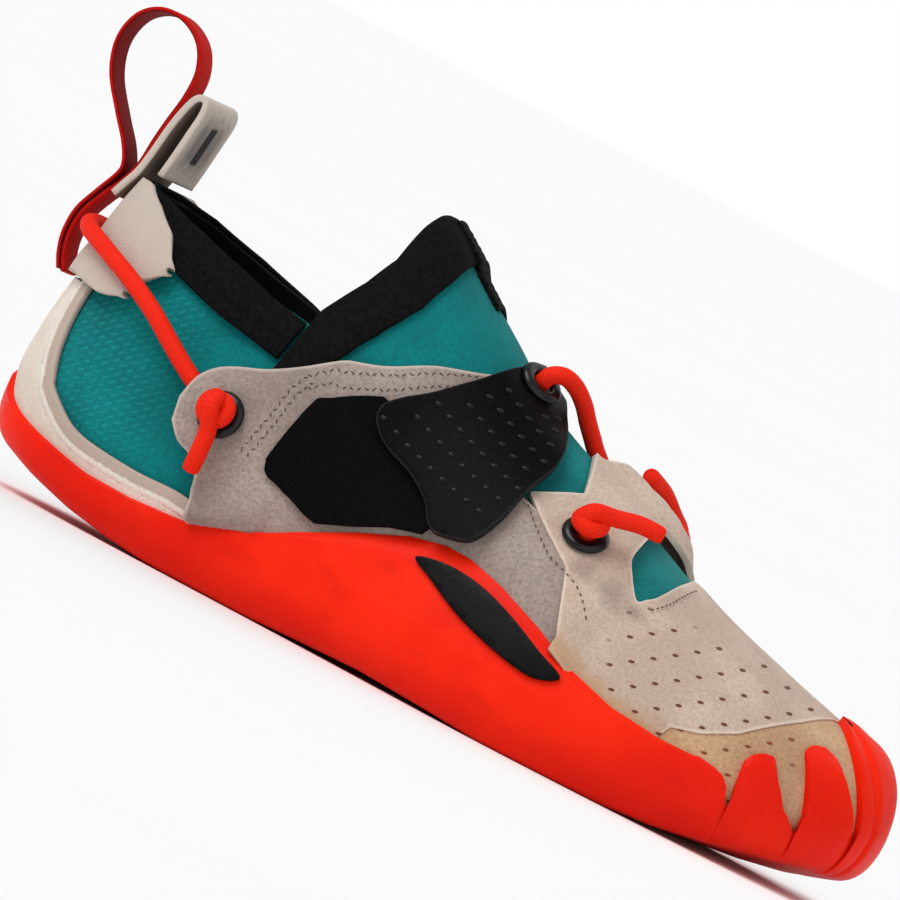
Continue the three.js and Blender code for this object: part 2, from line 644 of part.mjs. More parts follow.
// Vamp: suede over the forefoot. Its rear part bridges the throat over the tongue and ends at the wings'
// seam.
const vampRear = [
  { level: -1, row: 8.3 }, { level: 0.2, row: 8.3 }, { level: 0.42, row: 7.95 }, { level: 0.5, row: 7.5 },
  { level: 0.56, row: 7.2 }, { level: 0.64, row: 7.4 }, { level: 0.72, row: 7.58 },
  { level: 0.82, row: 7.48 },
  { level: 1, row: 7.3 },
];
const vampRow = (level) => readTable(vampRear, level, 'level', 'row');
const bandSeam = [
  { level: -1, row: 9.2 }, { level: 0.12, row: 9.7 }, { level: 0.18, row: 10.2 }, { level: 0.28, row: 10.6 },
  { level: 0.45, row: 10.95 }, { level: 0.6, row: 11.25 }, { level: 1, row: 11.85 },
];
const bandRow = (level) => readTable(bandSeam, level, 'level', 'row');
const seamGap = 0.03;
const bandGap = 0.06;
const wingGap = 0.15;
const rubberGap = 0.9;
const lobeStep = 0.08;
const highestSide = 0.97;
const sunk = -0.2;
function aboveRubber(row, side) {
  const place = side === 'lateral' ? row : round - row;
  const heights = [-1, 0, 1].map((turn) => rubberHeight(place + turn * lobeStep));
  return Math.min(levelAtHeight(place, Math.max(...heights) + rubberGap), highestSide);
}
const cordHump = {
  row: 7.55, level: 0.68, rows: 0.9, levels: 0.3, lift: cordSize + 2 * clearance, endFrom: 8.1, endTo: 8.35,
};
const bridgeEnd = { from: 8.3, to: 8.75 };
function bridgeOffset(row, level, side) {
  const settled = THREE.MathUtils.smoothstep(row, bridgeEnd.from, bridgeEnd.to);
  const base = sunk + (overTongue - sunk) * (1 - settled);
  if (side === 'lateral') return base;
  const away = Math.hypot((row - cordHump.row) / cordHump.rows, (level - cordHump.level) / cordHump.levels);
  const low = THREE.MathUtils.smoothstep(row, cordHump.endFrom, cordHump.endTo);
  return base + cordHump.lift * (1 - THREE.MathUtils.smoothstep(away, 0.6, 1)) * (1 - low);
}
const vampBody = layer({
  rear: vampRow,
  front: (level) => bandRow(level) - seamGap,
  low: aboveRubber,
  high: () => 1,
  offset: bridgeOffset,
  wall: suedeWall,
  columns: 11,
  rows: 7,
});
// Throat window: the slot across the ridge between the bridge and the rest of the vamp, where the tongue shows
const throatWindow = [
  { level: 0.56, rear: 8.6, front: 8.68 }, { level: 0.6, rear: 8.45, front: 8.74 },
  { level: 0.65, rear: 8.34, front: 8.79 }, { level: 0.76, rear: 8.28, front: 8.8 },
  { level: 1, rear: 8.2, front: 8.75 },
];
const windowDepth = 8;
const windowCutter = layer({
  rear: (level) => readTable(throatWindow, level, 'level', 'rear'),
  front: (level) => readTable(throatWindow, level, 'level', 'front'),
  low: () => throatWindow[0].level,
  high: () => 1,
  offset: () => -windowDepth / 2,
  wall: 2 * windowDepth,
  columns: 2,
  rows: 6,
});
const vampPanel = toSolid(clearOfUpper(vampBody)).subtract(toSolid(windowCutter));

// Toe band: a tan strip between the vamp and the rubber
const bandFront = 12.04;
addPart('toe_band', clearOfUpper(layer({
  rear: (level) => bandRow(level) + bandGap,
  front: () => bandFront,
  low: aboveRubber,
  high: () => 1,
  offset: () => sunk,
  wall: suedeWall + clearance - sunk,
  columns: 8,
  rows: 6,
})), { ...finishes.suede, color: 0xb98f68 });

// Heel counter: a suede frame round the heel, with the stretch showing in a window on each side
const counterTop = 0.5;
const counterFront = 4.35;
const counterBody = closeBody(shellFaces({
  places: evenly(-counterFront, counterFront, 16),
  steps: evenly(0, 1, 5),
  outer: (row, index) => counterPoint(row, index, clearance + suedeWall),
  inner: (row, index) => counterPoint(row, index, sunk),
}));
function counterPoint(row, index, offset) {
  const place = (row + round) % round;
  const foot = levelAtHeight(place, rubberHeight(place) + rubberGap);
  const head = levelAtHeight(place, counterTop * ankleHeight);
  return skin(place, foot + (head - foot) * index / 5, offset);
}
const heelWindow = [
  [0.037, 0.54], [0.032, 0.44], [0.032, 0.37], [0.04, 0.3], [0.055, 0.235], [0.08, 0.196], [0.11, 0.184],
  [0.16, 0.178], [0.215, 0.178], [0.26, 0.2], [0.28, 0.35], [0.27, 0.6], [0.16, 0.65], [0.06, 0.62],
];
let counter = toSolid(clearOfUpper(counterBody));
for (const side of ['lateral', 'medial']) counter = counter.subtract(cutter(heelWindow, side));
addPart('heel_counter', fromSolid(largest(counter)), finishes.cream);

// Wings: suede flaps over the quarters. Each has a free rear lobe that stands off the heel for the cord
// under it.
const lobeLift = 2.9;
const wingFoot = { from: 0.04, to: 0.22 };
const lobeRun = { from: 4, to: 5.9 };
function wingOffset(row, level) {
  const overFoot = THREE.MathUtils.smoothstep(level, wingFoot.from, wingFoot.to);
  const lobe = 1 - THREE.MathUtils.smoothstep(row, lobeRun.from, lobeRun.to);
  return sunk + (overTongue - sunk) * Math.max(overFoot, lobe) + lobe * lobeLift;
}
const wingOutline = [
  [0.163, 0.352], [0.166, 0.395], [0.177, 0.447], [0.2, 0.49], [0.233, 0.523], [0.273, 0.581], [0.329, 0.645],
  [0.379, 0.709], [0.42, 0.74], [0.465, 0.745], [0.488, 0.7], [0.495, 0.62], [0.503, 0.55], [0.53, 0.535],
  [0.65, 0.4], [0.62, 0.2], [0.5, 0.14], [0.34, 0.13], [0.24, 0.14], [0.218, 0.18], [0.212, 0.255],
  [0.2, 0.282],
  [0.18, 0.306], [0.167, 0.33],
];
function wing(side) {
  const body = layer({
    rear: () => 3.3,
    front: (level) => vampRow(level) - wingGap,
    low: aboveRubber,
    high: () => 0.84,
    offset: wingOffset,
    wall: suedeWall,
    columns: 12,
    rows: 6,
    sides: [side],
  });
  const shaped = toSolid(clearOfUpper(body)).intersect(cutter(wingOutline, side));
  return largest(shaped);
}

// Holes for the cord, and the black rings round them: place and level on the last, with the layer they go
// through
const cordHole = cordSize / 2 + 0.5;
const ringOuter = 4.9;
const ringWall = 1.3;
const ringGap = 0.4;
const curvedGap = 0.75;
const onWing = (row, level) => wingOffset(row, level) + suedeWall;
const onBridge = (side) => (row, level) => bridgeOffset(row, level, side) + suedeWall;
const onStrap = (row, level) => strapOffset(row, level) + strapWall;
const eyelets = {
  lateral_wing: { place: 4.25, level: 0.2, gap: curvedGap, offset: onWing },
  medial_wing: { place: round - 4.25, level: 0.2, gap: curvedGap, offset: onWing },
  lateral_bridge: { place: 7.88, level: 0.565, gap: ringGap, offset: onBridge('lateral') },
  medial_bridge: { place: round - 7.82, level: 0.6, gap: curvedGap, offset: onBridge('medial') },
  strap: { place: 6.5, level: 0.87, gap: ringGap, offset: onStrap },
};
function frameAt({ place, level, offset }, lift) {
  const normal = lastNormal(place, level);
  const origin = skin(place, level, offset(rowOf(place), level) + lift);
  const turn = new THREE.Quaternion().setFromUnitVectors(new THREE.Vector3(0, 1, 0), normal);
  return new THREE.Matrix4().compose(origin, turn, new THREE.Vector3(1, 1, 1));
}
const ringProfile = [
  [cordHole, 0], [ringOuter - 0.4, 0], [ringOuter, 0.4], [ringOuter - 0.5, ringWall],
  [cordHole + 0.5, ringWall],
  [cordHole, 0.7], [cordHole, 0],
].map(([radius, height]) => new THREE.Vector2(radius, height));
const drillDepth = 8;
const drillSides = 16;
function drilled(solid, eyelet) {
  const bit = new THREE.CylinderGeometry(cordHole, cordHole, drillDepth, drillSides);
  bit.applyMatrix4(frameAt(eyelet, 0));
  return fromSolid(largest(solid.subtract(toSolid(bit))));
}
const ringSides = 12;
function addEyelet(name) {
  const ring = new THREE.LatheGeometry(ringProfile, ringSides);
  ring.applyMatrix4(frameAt(eyelets[name], eyelets[name].gap));
  addPart(`${name}_eyelet`, fromSolid(toSolid(ring)), finishes.hardPlastic);
}

const wingSuede = { ...finishes.suede, color: 0xa5968f };
addPart('lateral_wing', drilled(wing('lateral'), eyelets.lateral_wing), wingSuede);
addPart('medial_wing', drilled(wing('medial'), eyelets.medial_wing), wingSuede);
const halfDrilled = toSolid(drilled(largest(vampPanel), eyelets.lateral_bridge));
addPart('vamp', drilled(halfDrilled, eyelets.medial_bridge), finishes.suede);

// Closure strap: it comes up from the patch on the lateral wing to its eyelet over the instep
const strapTop = { from: 0.7, to: 0.95 };
function strapOffset(row, level) {
  const top = THREE.MathUtils.smoothstep(level, strapTop.from, strapTop.to);
  const side = wingOffset(row, level) + suedeWall + patchWall + 2 * clearance;
  return side + (overTongue + bindingWall - side) * top;
}
const strapOutline = [
  [0.346, 0.575], [0.347, 0.545], [0.364, 0.5], [0.4, 0.47], [0.43, 0.43], [0.445, 0.378],
  [0.466, 0.384], [0.483, 0.4],
  [0.493, 0.43], [0.503, 0.48], [0.513, 0.57], [0.527, 0.62], [0.53, 0.66], [0.52, 0.715],
  [0.505, 0.77], [0.49, 0.81],
  [0.475, 0.825], [0.455, 0.79], [0.425, 0.735], [0.39, 0.66],
];
const strapBody = layer({
  rear: () => 5.1,
  front: () => 7.6,
  low: (row, side) => (side === 'lateral' ? 0.2 : 0.9),
  high: () => 1,
  offset: strapOffset,
  wall: strapWall,
  columns: 7,
  rows: 8,
});
const strapPanel = largest(toSolid(strapBody).intersect(cutter(strapOutline)));
addPart('strap', drilled(strapPanel, eyelets.strap), finishes.strap);

// Loop patch under the strap, on the lateral wing
const patchOutline = [
  [0.266, 0.347], [0.283, 0.5], [0.346, 0.59], [0.4, 0.56], [0.43, 0.378], [0.405, 0.343],
  [0.369, 0.297], [0.336, 0.27],
  [0.286, 0.294],
];
const patchBody = layer({
  rear: () => 4.5,
  front: () => 6.7,
  low: () => 0.06,
  high: () => 0.56,
  offset: (row, level) => wingOffset(row, level) + suedeWall + clearance,
  wall: patchWall,
  columns: 9,
  rows: 5,
  sides: ['lateral'],
});
const patchPanel = toSolid(patchBody).intersect(cutter(patchOutline, 'lateral', false));
addPart('loop_patch', fromSolid(largest(patchPanel)), finishes.binding);
for (const name of Object.keys(eyelets)) addEyelet(name);

// Heel tabs and pull loop. A ribbon is a strip of even thickness along a line in the upright middle plane
// of the
// heel, as wide as named across it. Its points are in mm from the last's heel line and from the floor.
function ribbon(points, thickness, width, turns) {
  const line = new THREE.SplineCurve(points.map(([x, z]) => new THREE.Vector2(x, z)));
  const along = line.getPoints(turns);
  const edge = (side) => along.map((point, index) => {
    const before = along[Math.max(index - 1, 0)];
    const after = along[Math.min(index + 1, along.length - 1)];
    const way = after.clone().sub(before).normalize();
    return new THREE.Vector2(point.x - side * way.y * thickness / 2, point.y + side * way.x * thickness / 2);
  });
  const shape = new THREE.Shape([...edge(1), ...edge(-1).reverse()]);
  const body = new THREE.ExtrudeGeometry(shape, { depth: width, bevelEnabled: false, steps: 1 });
  body.translate(0, 0, -width / 2);
  body.rotateX(Math.PI / 2);
  return body;
}
const heelTabWidth = 18;
const heelTabWall = 1.5;
const heelTabLine = [
  [6.4, 67], [7.2, 72], [8.1, 78], [9.3, 83], [10.6, 85.7], [12.4, 85.9], [13, 83.6], [12.5, 79], [11.7, 73],
  [11, 68.6],
];
const heelTabTurns = 22;
addPart('heel_tab', ribbon(heelTabLine, heelTabWall, heelTabWidth, heelTabTurns), finishes.cream);

const webbingWidth = 8;
const webbingWall = 1.4;
const pullLoopLine = [
  [-1.9, 46], [-2.9, 50], [-2.6, 55], [-0.4, 60], [2.2, 64.5], [3.8, 69], [4.3, 74], [5, 79], [6, 85],
  [5.8, 90.5], [3.2, 95.4], [-1.7, 98.2], [-7, 98], [-11, 94.8], [-12.4, 89], [-10.4, 82.5], [-5.4, 76],
  [-1.4, 71.3], [0.8, 67.4],
];
const pullLoopTurns = 32;
addPart('pull_loop', ribbon(pullLoopLine, webbingWall, webbingWidth, pullLoopTurns), finishes.webbing);

// Two suede tabs lie round the heel: the middle one under the cord, the lower one below it.
// Each has its foot and head as shares of the ankle height at rows along it.
function heelPatch(outline, offset, wall, columns, steps) {
  const end = outline[outline.length - 1].row;
  const point = (share, index, depth) => {
    const turn = 2 * share - 1;
    const row = Math.abs(turn) * end;
    const foot = readTable(outline, row, 'row', 'foot');
    const head = readTable(outline, row, 'row', 'head');
    const place = turn < 0 ? round - row : row;
    const height = (foot + (head - foot) * index / steps) * ankleHeight;
    return skin(place % round, levelAtHeight(place % round, height), offset + depth);
  };
  return closeBody(shellFaces({
    places: evenly(0, 1, columns),
    steps: evenly(0, 1, steps),
    outer: (share, index) => point(share, index, wall),
    inner: (share, index) => point(share, index, 0),
  }));
}
const tabWall = 1.4;
const middleTab = [
  { row: 0, foot: 0.61, head: 0.77 }, { row: 1.4, foot: 0.61, head: 0.77 },
  { row: 2, foot: 0.585, head: 0.735 },
  { row: 2.5, foot: 0.555, head: 0.69 }, { row: 2.75, foot: 0.575, head: 0.65 },
];
const tabColumns = 14;
const overCollar = 3 * clearance + bindingWall;
addPart('heel_tab_middle', heelPatch(middleTab, overCollar, tabWall, tabColumns, 4), finishes.cream);
const lowerTab = [
  { row: 0, foot: 0.5, head: 0.6 }, { row: 1.1, foot: 0.51, head: 0.6 }, { row: 2, foot: 0.495, head: 0.575 },
  { row: 2.4, foot: 0.505, head: 0.54 },
];
const overCounter = suedeWall + 2 * clearance;
addPart('heel_tab_lower', heelPatch(lowerTab, overCounter, tabWall, tabColumns, 2), finishes.cream);

// Cords: a tube along hand-chosen points
const cordSides = 8;
function cordBody(points, size, steps) {
  const stops = points.map((point) => new THREE.Vector3(...point));
  const route = new THREE.CatmullRomCurve3(stops, false, 'centripetal');
  const section = new THREE.Shape(evenly(0, 1, cordSides).slice(0, -1).map((share) => {
    const turn = 2 * Math.PI * share;
    return new THREE.Vector2(size / 2 * Math.cos(turn), size / 2 * Math.sin(turn));
  }));
  return new THREE.ExtrudeGeometry(section, { extrudePath: route, steps, bevelEnabled: false });
}
const heelCordRoute = [
  [52.8, -25.6, 32], [46.3, -25.3, 34.9], [40.4, -25.5, 37.9], [34.8, -26.1, 41.4], [29.2, -26, 44.8],
  [21.2, -24, 48.3],
  [14.2, -21.5, 50.7], [7.6, -17.4, 52.6], [4.2, -13.2, 53.4], [1.5, -6.8, 54.2], [0.7, 0, 54.5],
  [1.5, 6.8, 54.2],
  [4.2, 13.2, 53.4], [7.6, 17.4, 52.6], [14.2, 21.4, 50.7], [21.2, 23.8, 48.3], [29.2, 25.4, 44.8],
  [34.8, 25.2, 41.4],
  [40.2, 24.2, 37.9], [45.8, 23.5, 34.8], [52, 23, 32],
];
const heelCordSteps = 26;
addPart('heel_cord', cordBody(heelCordRoute, cordSize, heelCordSteps), finishes.cord);
const frontCordRoute = [
  [100.1, -4.9, 65.5], [101.1, -5.8, 67.4], [102.4, -6.3, 69.3], [104.6, -5, 70.2], [106.6, -2, 69.2],
  [108.2, 1.8, 66.9], [109.4, 5.2, 64.1], [110.8, 7.7, 61.7], [112.5, 9.3, 59.4], [116, 12, 55.8],
  [120.9, 14.9, 52.2], [124.6, 17.5, 49.2], [128.8, 20.1, 46.1],
];
const frontCordSteps = 20;
addPart('front_cord', cordBody(frontCordRoute, cordSize, frontCordSteps), finishes.cord);

// Knots: the cord comes up through its eyelet, winds into a flat round knot, and ends in a short tail.
// A tail's points are in mm from the middle of its knot.
const knotSize = { across: 4.1, high: 2.6 };
const lumpSides = 10;
const lumpRings = 6;
const tailSteps = 6;
const tails = {
  lateral_wing: [[-0.2, -0.2, -0.5], [1, -1, -4.5], [1.2, -0.5, -9], [0.8, 0.8, -13]],
  medial_wing: [[-0.5, 0.2, 0], [0.5, 1, -4], [0.7, 0.8, -8.5], [0.3, -0.2, -12.5]],
  lateral_bridge: [[0.5, 0.1, 0.4], [3.7, 1.7, 2.6], [7.9, 4.5, 3.6], [11.9, 7.3, 3.6]],
  medial_bridge: [[0.2, -0.6, 0.2], [-1, -3, 3.9], [-3, -8.4, 7.1], [-5, -15, 9.1]],
};
function knotBody(name) {
  const eyelet = eyelets[name];
  const top = eyelet.gap + ringWall + clearance;
  const lump = new THREE.SphereGeometry(1, lumpSides, lumpRings);
  lump.scale(knotSize.across, knotSize.high, knotSize.across);
  lump.translate(0, top + knotSize.high, 0);
  lump.applyMatrix4(frameAt(eyelet, 0));
  const stemLength = top + knotSize.high + suedeWall;
  const stem = new THREE.CylinderGeometry(cordSize / 2, cordSize / 2, stemLength, cordSides);
  stem.translate(0, stemLength / 2 - suedeWall, 0);
  stem.applyMatrix4(frameAt(eyelet, 0));
  const middle = new THREE.Vector3().setFromMatrixPosition(frameAt(eyelet, top + knotSize.high));
  const tailPoints = tails[name].map(([x, y, z]) => [middle.x + x, middle.y + y, middle.z + z]);
  const tail = cordBody(tailPoints, cordSize, tailSteps);
  return fromSolid(toSolid(lump).add(toSolid(stem)).add(toSolid(tail)));
}
for (const name of Object.keys(tails)) addPart(`${name}_knot`, knotBody(name), finishes.cord);

// Ribbed tape along the front of the tongue, just over its ridge
const tapeBody = layer({
  rear: () => 5.08,
  front: () => 5.86,
  low: (row, side) => (side === 'lateral' ? 0.965 : 0.88),
  high: () => 1,
  offset: (row) => overTongue + (bindingWall + clearance) * (1 - THREE.MathUtils.smoothstep(row, 5.5, 5.65)),
  wall: bindingWall,
  columns: 4,
  rows: 3,
});
addPart('tongue_tape', tapeBody, finishes.binding);

// Bare lens-shaped plate on the lateral side of the rubber
const plateOutline = [
  [0.442, 0.31], [0.478, 0.318], [0.516, 0.31], [0.555, 0.283], [0.592, 0.246], [0.624, 0.219],
  [0.6, 0.192], [0.56, 0.2],
  [0.51, 0.235], [0.466, 0.283],
];
const plateWall = 0.6;
const plateBody = layer({
  rear: () => 6.6,
  front: () => 9.2,
  low: () => -0.1,
  high: () => 0.34,
  offset: () => rubberWall + 2 * clearance,
  wall: plateWall,
  columns: 8,
  rows: 3,
  sides: ['lateral'],
});
const platePanel = toSolid(plateBody).intersect(cutter(plateOutline));
addPart('rand_plate', fromSolid(largest(platePanel)), finishes.hardPlastic);

// The part stands on its heel flat: the origin is at the middle of that flat, on the floor
const heelSeat = 0.325;
parts.position.x = -heelSeat * lastLength;

export default parts;
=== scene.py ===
# Looks for a child's climbing shoe, right foot: stretch bootie, suede panels, wrapped rubber sole, red
# cords. Metres. +X points to the toe, +Y to the inner side, +Z up. The outer side faces -Y, towards the
# camera.
import math

import bmesh
import bpy
import numpy as np
from mathutils import Matrix, Vector
from mathutils.kdtree import KDTree


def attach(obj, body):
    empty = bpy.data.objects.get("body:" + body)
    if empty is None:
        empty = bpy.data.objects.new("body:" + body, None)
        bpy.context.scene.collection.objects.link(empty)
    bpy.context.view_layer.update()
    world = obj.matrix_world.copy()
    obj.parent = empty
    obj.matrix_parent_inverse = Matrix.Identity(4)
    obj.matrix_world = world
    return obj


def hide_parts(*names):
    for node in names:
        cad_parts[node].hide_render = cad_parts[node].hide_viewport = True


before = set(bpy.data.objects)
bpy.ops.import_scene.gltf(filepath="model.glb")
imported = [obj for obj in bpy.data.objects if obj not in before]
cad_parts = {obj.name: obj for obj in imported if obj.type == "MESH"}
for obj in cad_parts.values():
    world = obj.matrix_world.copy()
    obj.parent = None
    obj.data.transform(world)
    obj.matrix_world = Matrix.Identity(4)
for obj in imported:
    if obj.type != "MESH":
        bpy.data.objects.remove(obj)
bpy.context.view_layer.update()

# Floor, light and camera
# The shoe stands on a plain pale floor under large soft lamps. The camera looks at its outer side from a
# little towards the toe, almost level, and is rolled so that the toe hangs down to the right as in the
# photograph.
scene = bpy.context.scene
scene.view_settings.view_transform = "Standard"

turn, lift, roll = math.radians(20), math.radians(1.5), math.radians(27)
to_camera = Vector((math.sin(turn) * math.cos(lift), -math.cos(turn) * math.cos(lift), math.sin(lift)))
level_right = Vector((math.cos(turn), math.sin(turn), 0))
level_up = to_camera.cross(level_right)
right = level_right * math.cos(roll) + level_up * math.sin(roll)
up = level_up * math.cos(roll) - level_right * math.sin(roll)
target = Vector((0.02757, -0.010, 0.0472))
camera = bpy.data.objects.new("camera", bpy.data.cameras.new("camera"))
LENS, SENSOR, CAMERA_AWAY = 800, 36, 3.9216
camera.data.lens, camera.data.sensor_width = LENS, SENSOR
camera.data.clip_start, camera.data.clip_end = 0.05, 50
place = target + to_camera * CAMERA_AWAY
camera.matrix_world = Matrix((
    (right.x, up.x, to_camera.x, place.x), (right.y, up.y, to_camera.y, place.y),
    (right.z, up.z, to_camera.z, place.z), (0, 0, 0, 1)))
scene.collection.objects.link(camera)
scene.camera = camera


def soft_lamp(name, at, angle, strength):
    """A wide soft light from far away, so that the floor is lit evenly."""
    lamp = bpy.data.objects.new(name, bpy.data.lights.new(name, "SUN"))
    lamp.data.angle, lamp.data.energy = math.radians(angle), strength
    lamp.location = at
    lamp.rotation_euler = (-Vector(at)).to_track_quat("-Z", "Y").to_euler()
    scene.collection.objects.link(lamp)


soft_lamp("key_lamp", (-0.5, -0.65, 1.0), 40, 1.75)
soft_lamp("side_lamp", (0.9, -0.8, 0.6), 60, 0.5)
soft_lamp("back_lamp", (0.3, 0.9, 0.8), 60, 0.5)
# The room behind the shoe is seen white and lights it more weakly.
scene.world = bpy.data.worlds.new("studio")
scene.world.use_nodes = True
sky = scene.world.node_tree
backdrop, glow = sky.nodes["Background"], sky.nodes.new("ShaderNodeBackground")
backdrop.inputs[1].default_value, glow.inputs[1].default_value = 0.42, 1.0
for light in (backdrop, glow):
    light.inputs[0].default_value = (1, 1, 1, 1)
seen, shown = sky.nodes.new("ShaderNodeLightPath"), sky.nodes.new("ShaderNodeMixShader")
sky.links.new(seen.outputs["Is Camera Ray"], shown.inputs[0])
sky.links.new(backdrop.outputs[0], shown.inputs[1])
sky.links.new(glow.outputs[0], shown.inputs[2])
sky.links.new(shown.outputs[0], sky.nodes["World Output"].inputs[0])


def tone(red, green, blue):
    """A colour as seen, 0 to 255, for the shader."""
    values = [c / 255 for c in (red, green, blue)]
    return tuple(c / 12.92 if c <= 0.04045 else ((c + 0.055) / 1.055) ** 2.4 for c in values) + (1,)


def material(name, rough, **constants):
    """A new material with its tree of nodes and its shader, whose constant values are given."""
    made = bpy.data.materials.new(name)
    made.use_nodes = True
    tree = made.node_tree
    shader = tree.nodes["Principled BSDF"]
    shader.inputs["Roughness"].default_value = rough
    for socket, value in constants.items():
        shader.inputs[socket.replace("_", " ")].default_value = value
    return made, tree, shader


def node(tree, kind, *inputs, **settings):
    """A node with its inputs in order. A socket is linked, anything else is the value, and None leaves it
    alone."""
    made = tree.nodes.new("ShaderNode" + kind)
    for key, value in settings.items():
        setattr(made, key, value)
    for socket, value in zip(made.inputs, inputs):
        if isinstance(value, bpy.types.NodeSocket):
            tree.links.new(value, socket)
        elif value is not None:
            socket.default_value = value
    return made


def maths(tree, operation, *inputs):
    return node(tree, "Math", *inputs, operation=operation).outputs[0]


def blend(tree, share, first, second):
    """The second colour laid over the first by a share."""
    mix = tree.nodes.new("ShaderNodeMix")
    mix.data_type, mix.clamp_factor = "RGBA", True
    for socket, value in ((mix.inputs["Factor"], share), (mix.inputs[6], first), (mix.inputs[7], second)):
        if isinstance(value, bpy.types.NodeSocket):
            tree.links.new(value, socket)
        else:
            socket.default_value = value
    return mix.outputs[2]


def spread(tree, value, low, high, from_value=0.0, to_value=1.0):
    """A value read between two marks as 0 to 1, softly."""
    made = node(tree, "MapRange", value, low, high, from_value, to_value)
    made.interpolation_type = "SMOOTHSTEP"
    return made.outputs[0]


def relief(tree, shader, height, strength, distance):
    """A bump on the shader. distance is its depth in metres."""
    bump = node(tree, "Bump", strength, distance)
    tree.links.new(height, bump.inputs["Height"])
    tree.links.new(bump.outputs[0], shader.inputs["Normal"])


def effect(name, takes, gives):
    """A group of nodes with named inputs and outputs. Gives the group, its inputs' and its outputs'
    sockets."""
    group = bpy.data.node_groups.new(name, "ShaderNodeTree")
    for way, sockets in (("INPUT", takes), ("OUTPUT", gives)):
        for label, kind in sockets.items():
            group.interface.new_socket(label, in_out=way, socket_type="NodeSocket" + kind)
    return group, group.nodes.new("NodeGroupInput").outputs, group.nodes.new("NodeGroupOutput").inputs


floor_mesh = bmesh.new()
bmesh.ops.create_grid(floor_mesh, x_segments=8, y_segments=8, size=12)
floor_data = bpy.data.meshes.new("floor")
floor_mesh.to_mesh(floor_data)
floor_mesh.free()
floor = bpy.data.objects.new("floor", floor_data)
scene.collection.objects.link(floor)
floor_paint, tree, shader = material("floor_paint", 0.9)
cloud = node(tree, "TexNoise", node(tree, "TexCoord").outputs["Object"], None, 3.0)
tree.links.new(blend(tree, cloud.outputs[0], (0.97, 0.97, 0.97, 1), (0.95, 0.95, 0.95, 1)),
               shader.inputs["Base Color"])
floor_data.materials.append(floor_paint)

# Cords and knots
# One red braided cord runs round the heel from wing to wing, and one from the strap's eyelet over the
# instep to the inner bridge. Each end comes up through its eyelet, winds into a tight round knot and is cut
# square.
HEEL_SEAT = 64.285


def metres(points):
    """Points of the last, in mm from its heel, as places of the part."""
    return (np.asarray(points, float) - [HEEL_SEAT, 0, 0]) / 1000


def smooth(points, place, closed=False, held=False):
    """A smooth line through evenly numbered points, read at places along it."""
    points, place = np.asarray(points, float), np.asarray(place, float)
    count = len(points)
    if closed:
        first = np.floor(place).astype(int)
        near = [points[(first + k) % count] for k in (-1, 0, 1, 2)]
    else:
        first = np.clip(np.floor(place).astype(int), 0, count - 2)
        ends = (points[0], points[-1]) if held else (2 * points[0] - points[1], 2 * points[-1] - points[-2])
        line = np.vstack([ends[0], points, ends[1]])
        near = [line[first + k] for k in range(4)]
    w = (place - first)[..., None]
    a, b, c, d = near
    return b + 0.5 * w * (c - a + w * (2 * a - 5 * b + 4 * c - d + w * (3 * (b - c) + d - a)))


# The last: sections from the heel to the big toe's tip. Each row gives the widest line's place and reach on
# the outer and the inner side, its height and tuck, the crest's place, half width and height, and four
# curve values.
LENGTH, BALL, ANKLE = 197.8, 70.0, 86.0
sections = np.array([
    [0.011, 0, 0.011, 0, 0.3, 0.16, 0.058, 0, 0, 1, 0.35, 0.05, 0.1, 0.4],
    [0.028, -0.176, 0.028, 0.176, 0.29, 0.15, 0.068, 0, 0.098, 1, 0.35, 0.05, 0.1, 0.4],
    [0.073, -0.28, 0.073, 0.275, 0.27, 0.12, 0.098, 0, 0.165, 1, 0.35, 0.07, 0.1, 0.4],
    [0.147, -0.335, 0.147, 0.32, 0.24, 0.1, 0.16, 0, 0.205, 1, 0.34, 0.08, 0.12, 0.38],
    [0.243, -0.352, 0.238, 0.317, 0.21, 0.09, 0.25, 0, 0.19, 1, 0.34, 0.08, 0.16, 0.36],
    [0.354, -0.374, 0.344, 0.283, 0.185, 0.08, 0.334, 0.014, 0, 0.994, 0.42, 0.12, 0.6, 0.03],
    [0.465, -0.417, 0.465, 0.276, 0.17, 0.075, 0.445, 0.029, 0, 0.826, 0.42, 0.12, 0.54, 0.05],
    [0.566, -0.474, 0.576, 0.326, 0.16, 0.07, 0.541, 0.043, 0, 0.692, 0.46, 0.12, 0.5, 0.06],
    [0.667, -0.506, 0.688, 0.426, 0.15, 0.065, 0.652, 0.064, 0, 0.6, 0.52, 0.1, 0.5, 0.05],
    [0.758, -0.467, 0.786, 0.503, 0.15, 0.065, 0.748, 0.093, 0, 0.503, 0.56, 0.08, 0.54, 0.03],
    [0.842, -0.379, 0.87, 0.51, 0.16, 0.075, 0.829, 0.129, 0, 0.444, 0.58, 0.06, 0.56, 0.02],
    [0.91, -0.263, 0.933, 0.454, 0.17, 0.09, 0.885, 0.157, 0, 0.407, 0.6, 0.05, 0.58, 0],
    [0.96, -0.111, 0.976, 0.357, 0.19, 0.11, 0.92, 0.171, 0, 0.387, 0.6, 0.05, 0.6, 0],
    [0.992, 0.036, 0.995, 0.257, 0.205, 0.13, 0.942, 0.179, 0, 0.376, 0.6, 0.05, 0.6, 0],
    [1, 0.15, 1, 0.15, 0.21, 0.14, 0.955, 0.183, 0, 0.367, 0.6, 0.05, 0.6, 0]])
underside = np.array([
    [0, 0.17], [0.025, 0.128], [0.05, 0.09], [0.1, 0.056], [0.15, 0.03], [0.205, 0.011], [0.25, 0.002],
    [0.275, 0], [0.375, 0], [0.43, 0.007], [0.52, 0.015], [0.61, 0.008], [0.67, 0], [0.8, 0], [0.85, 0.009],
    [0.9, 0.03], [0.95, 0.062], [1, 0.1]])
TIP, ROUND, CLOSING = 14, 28, 5
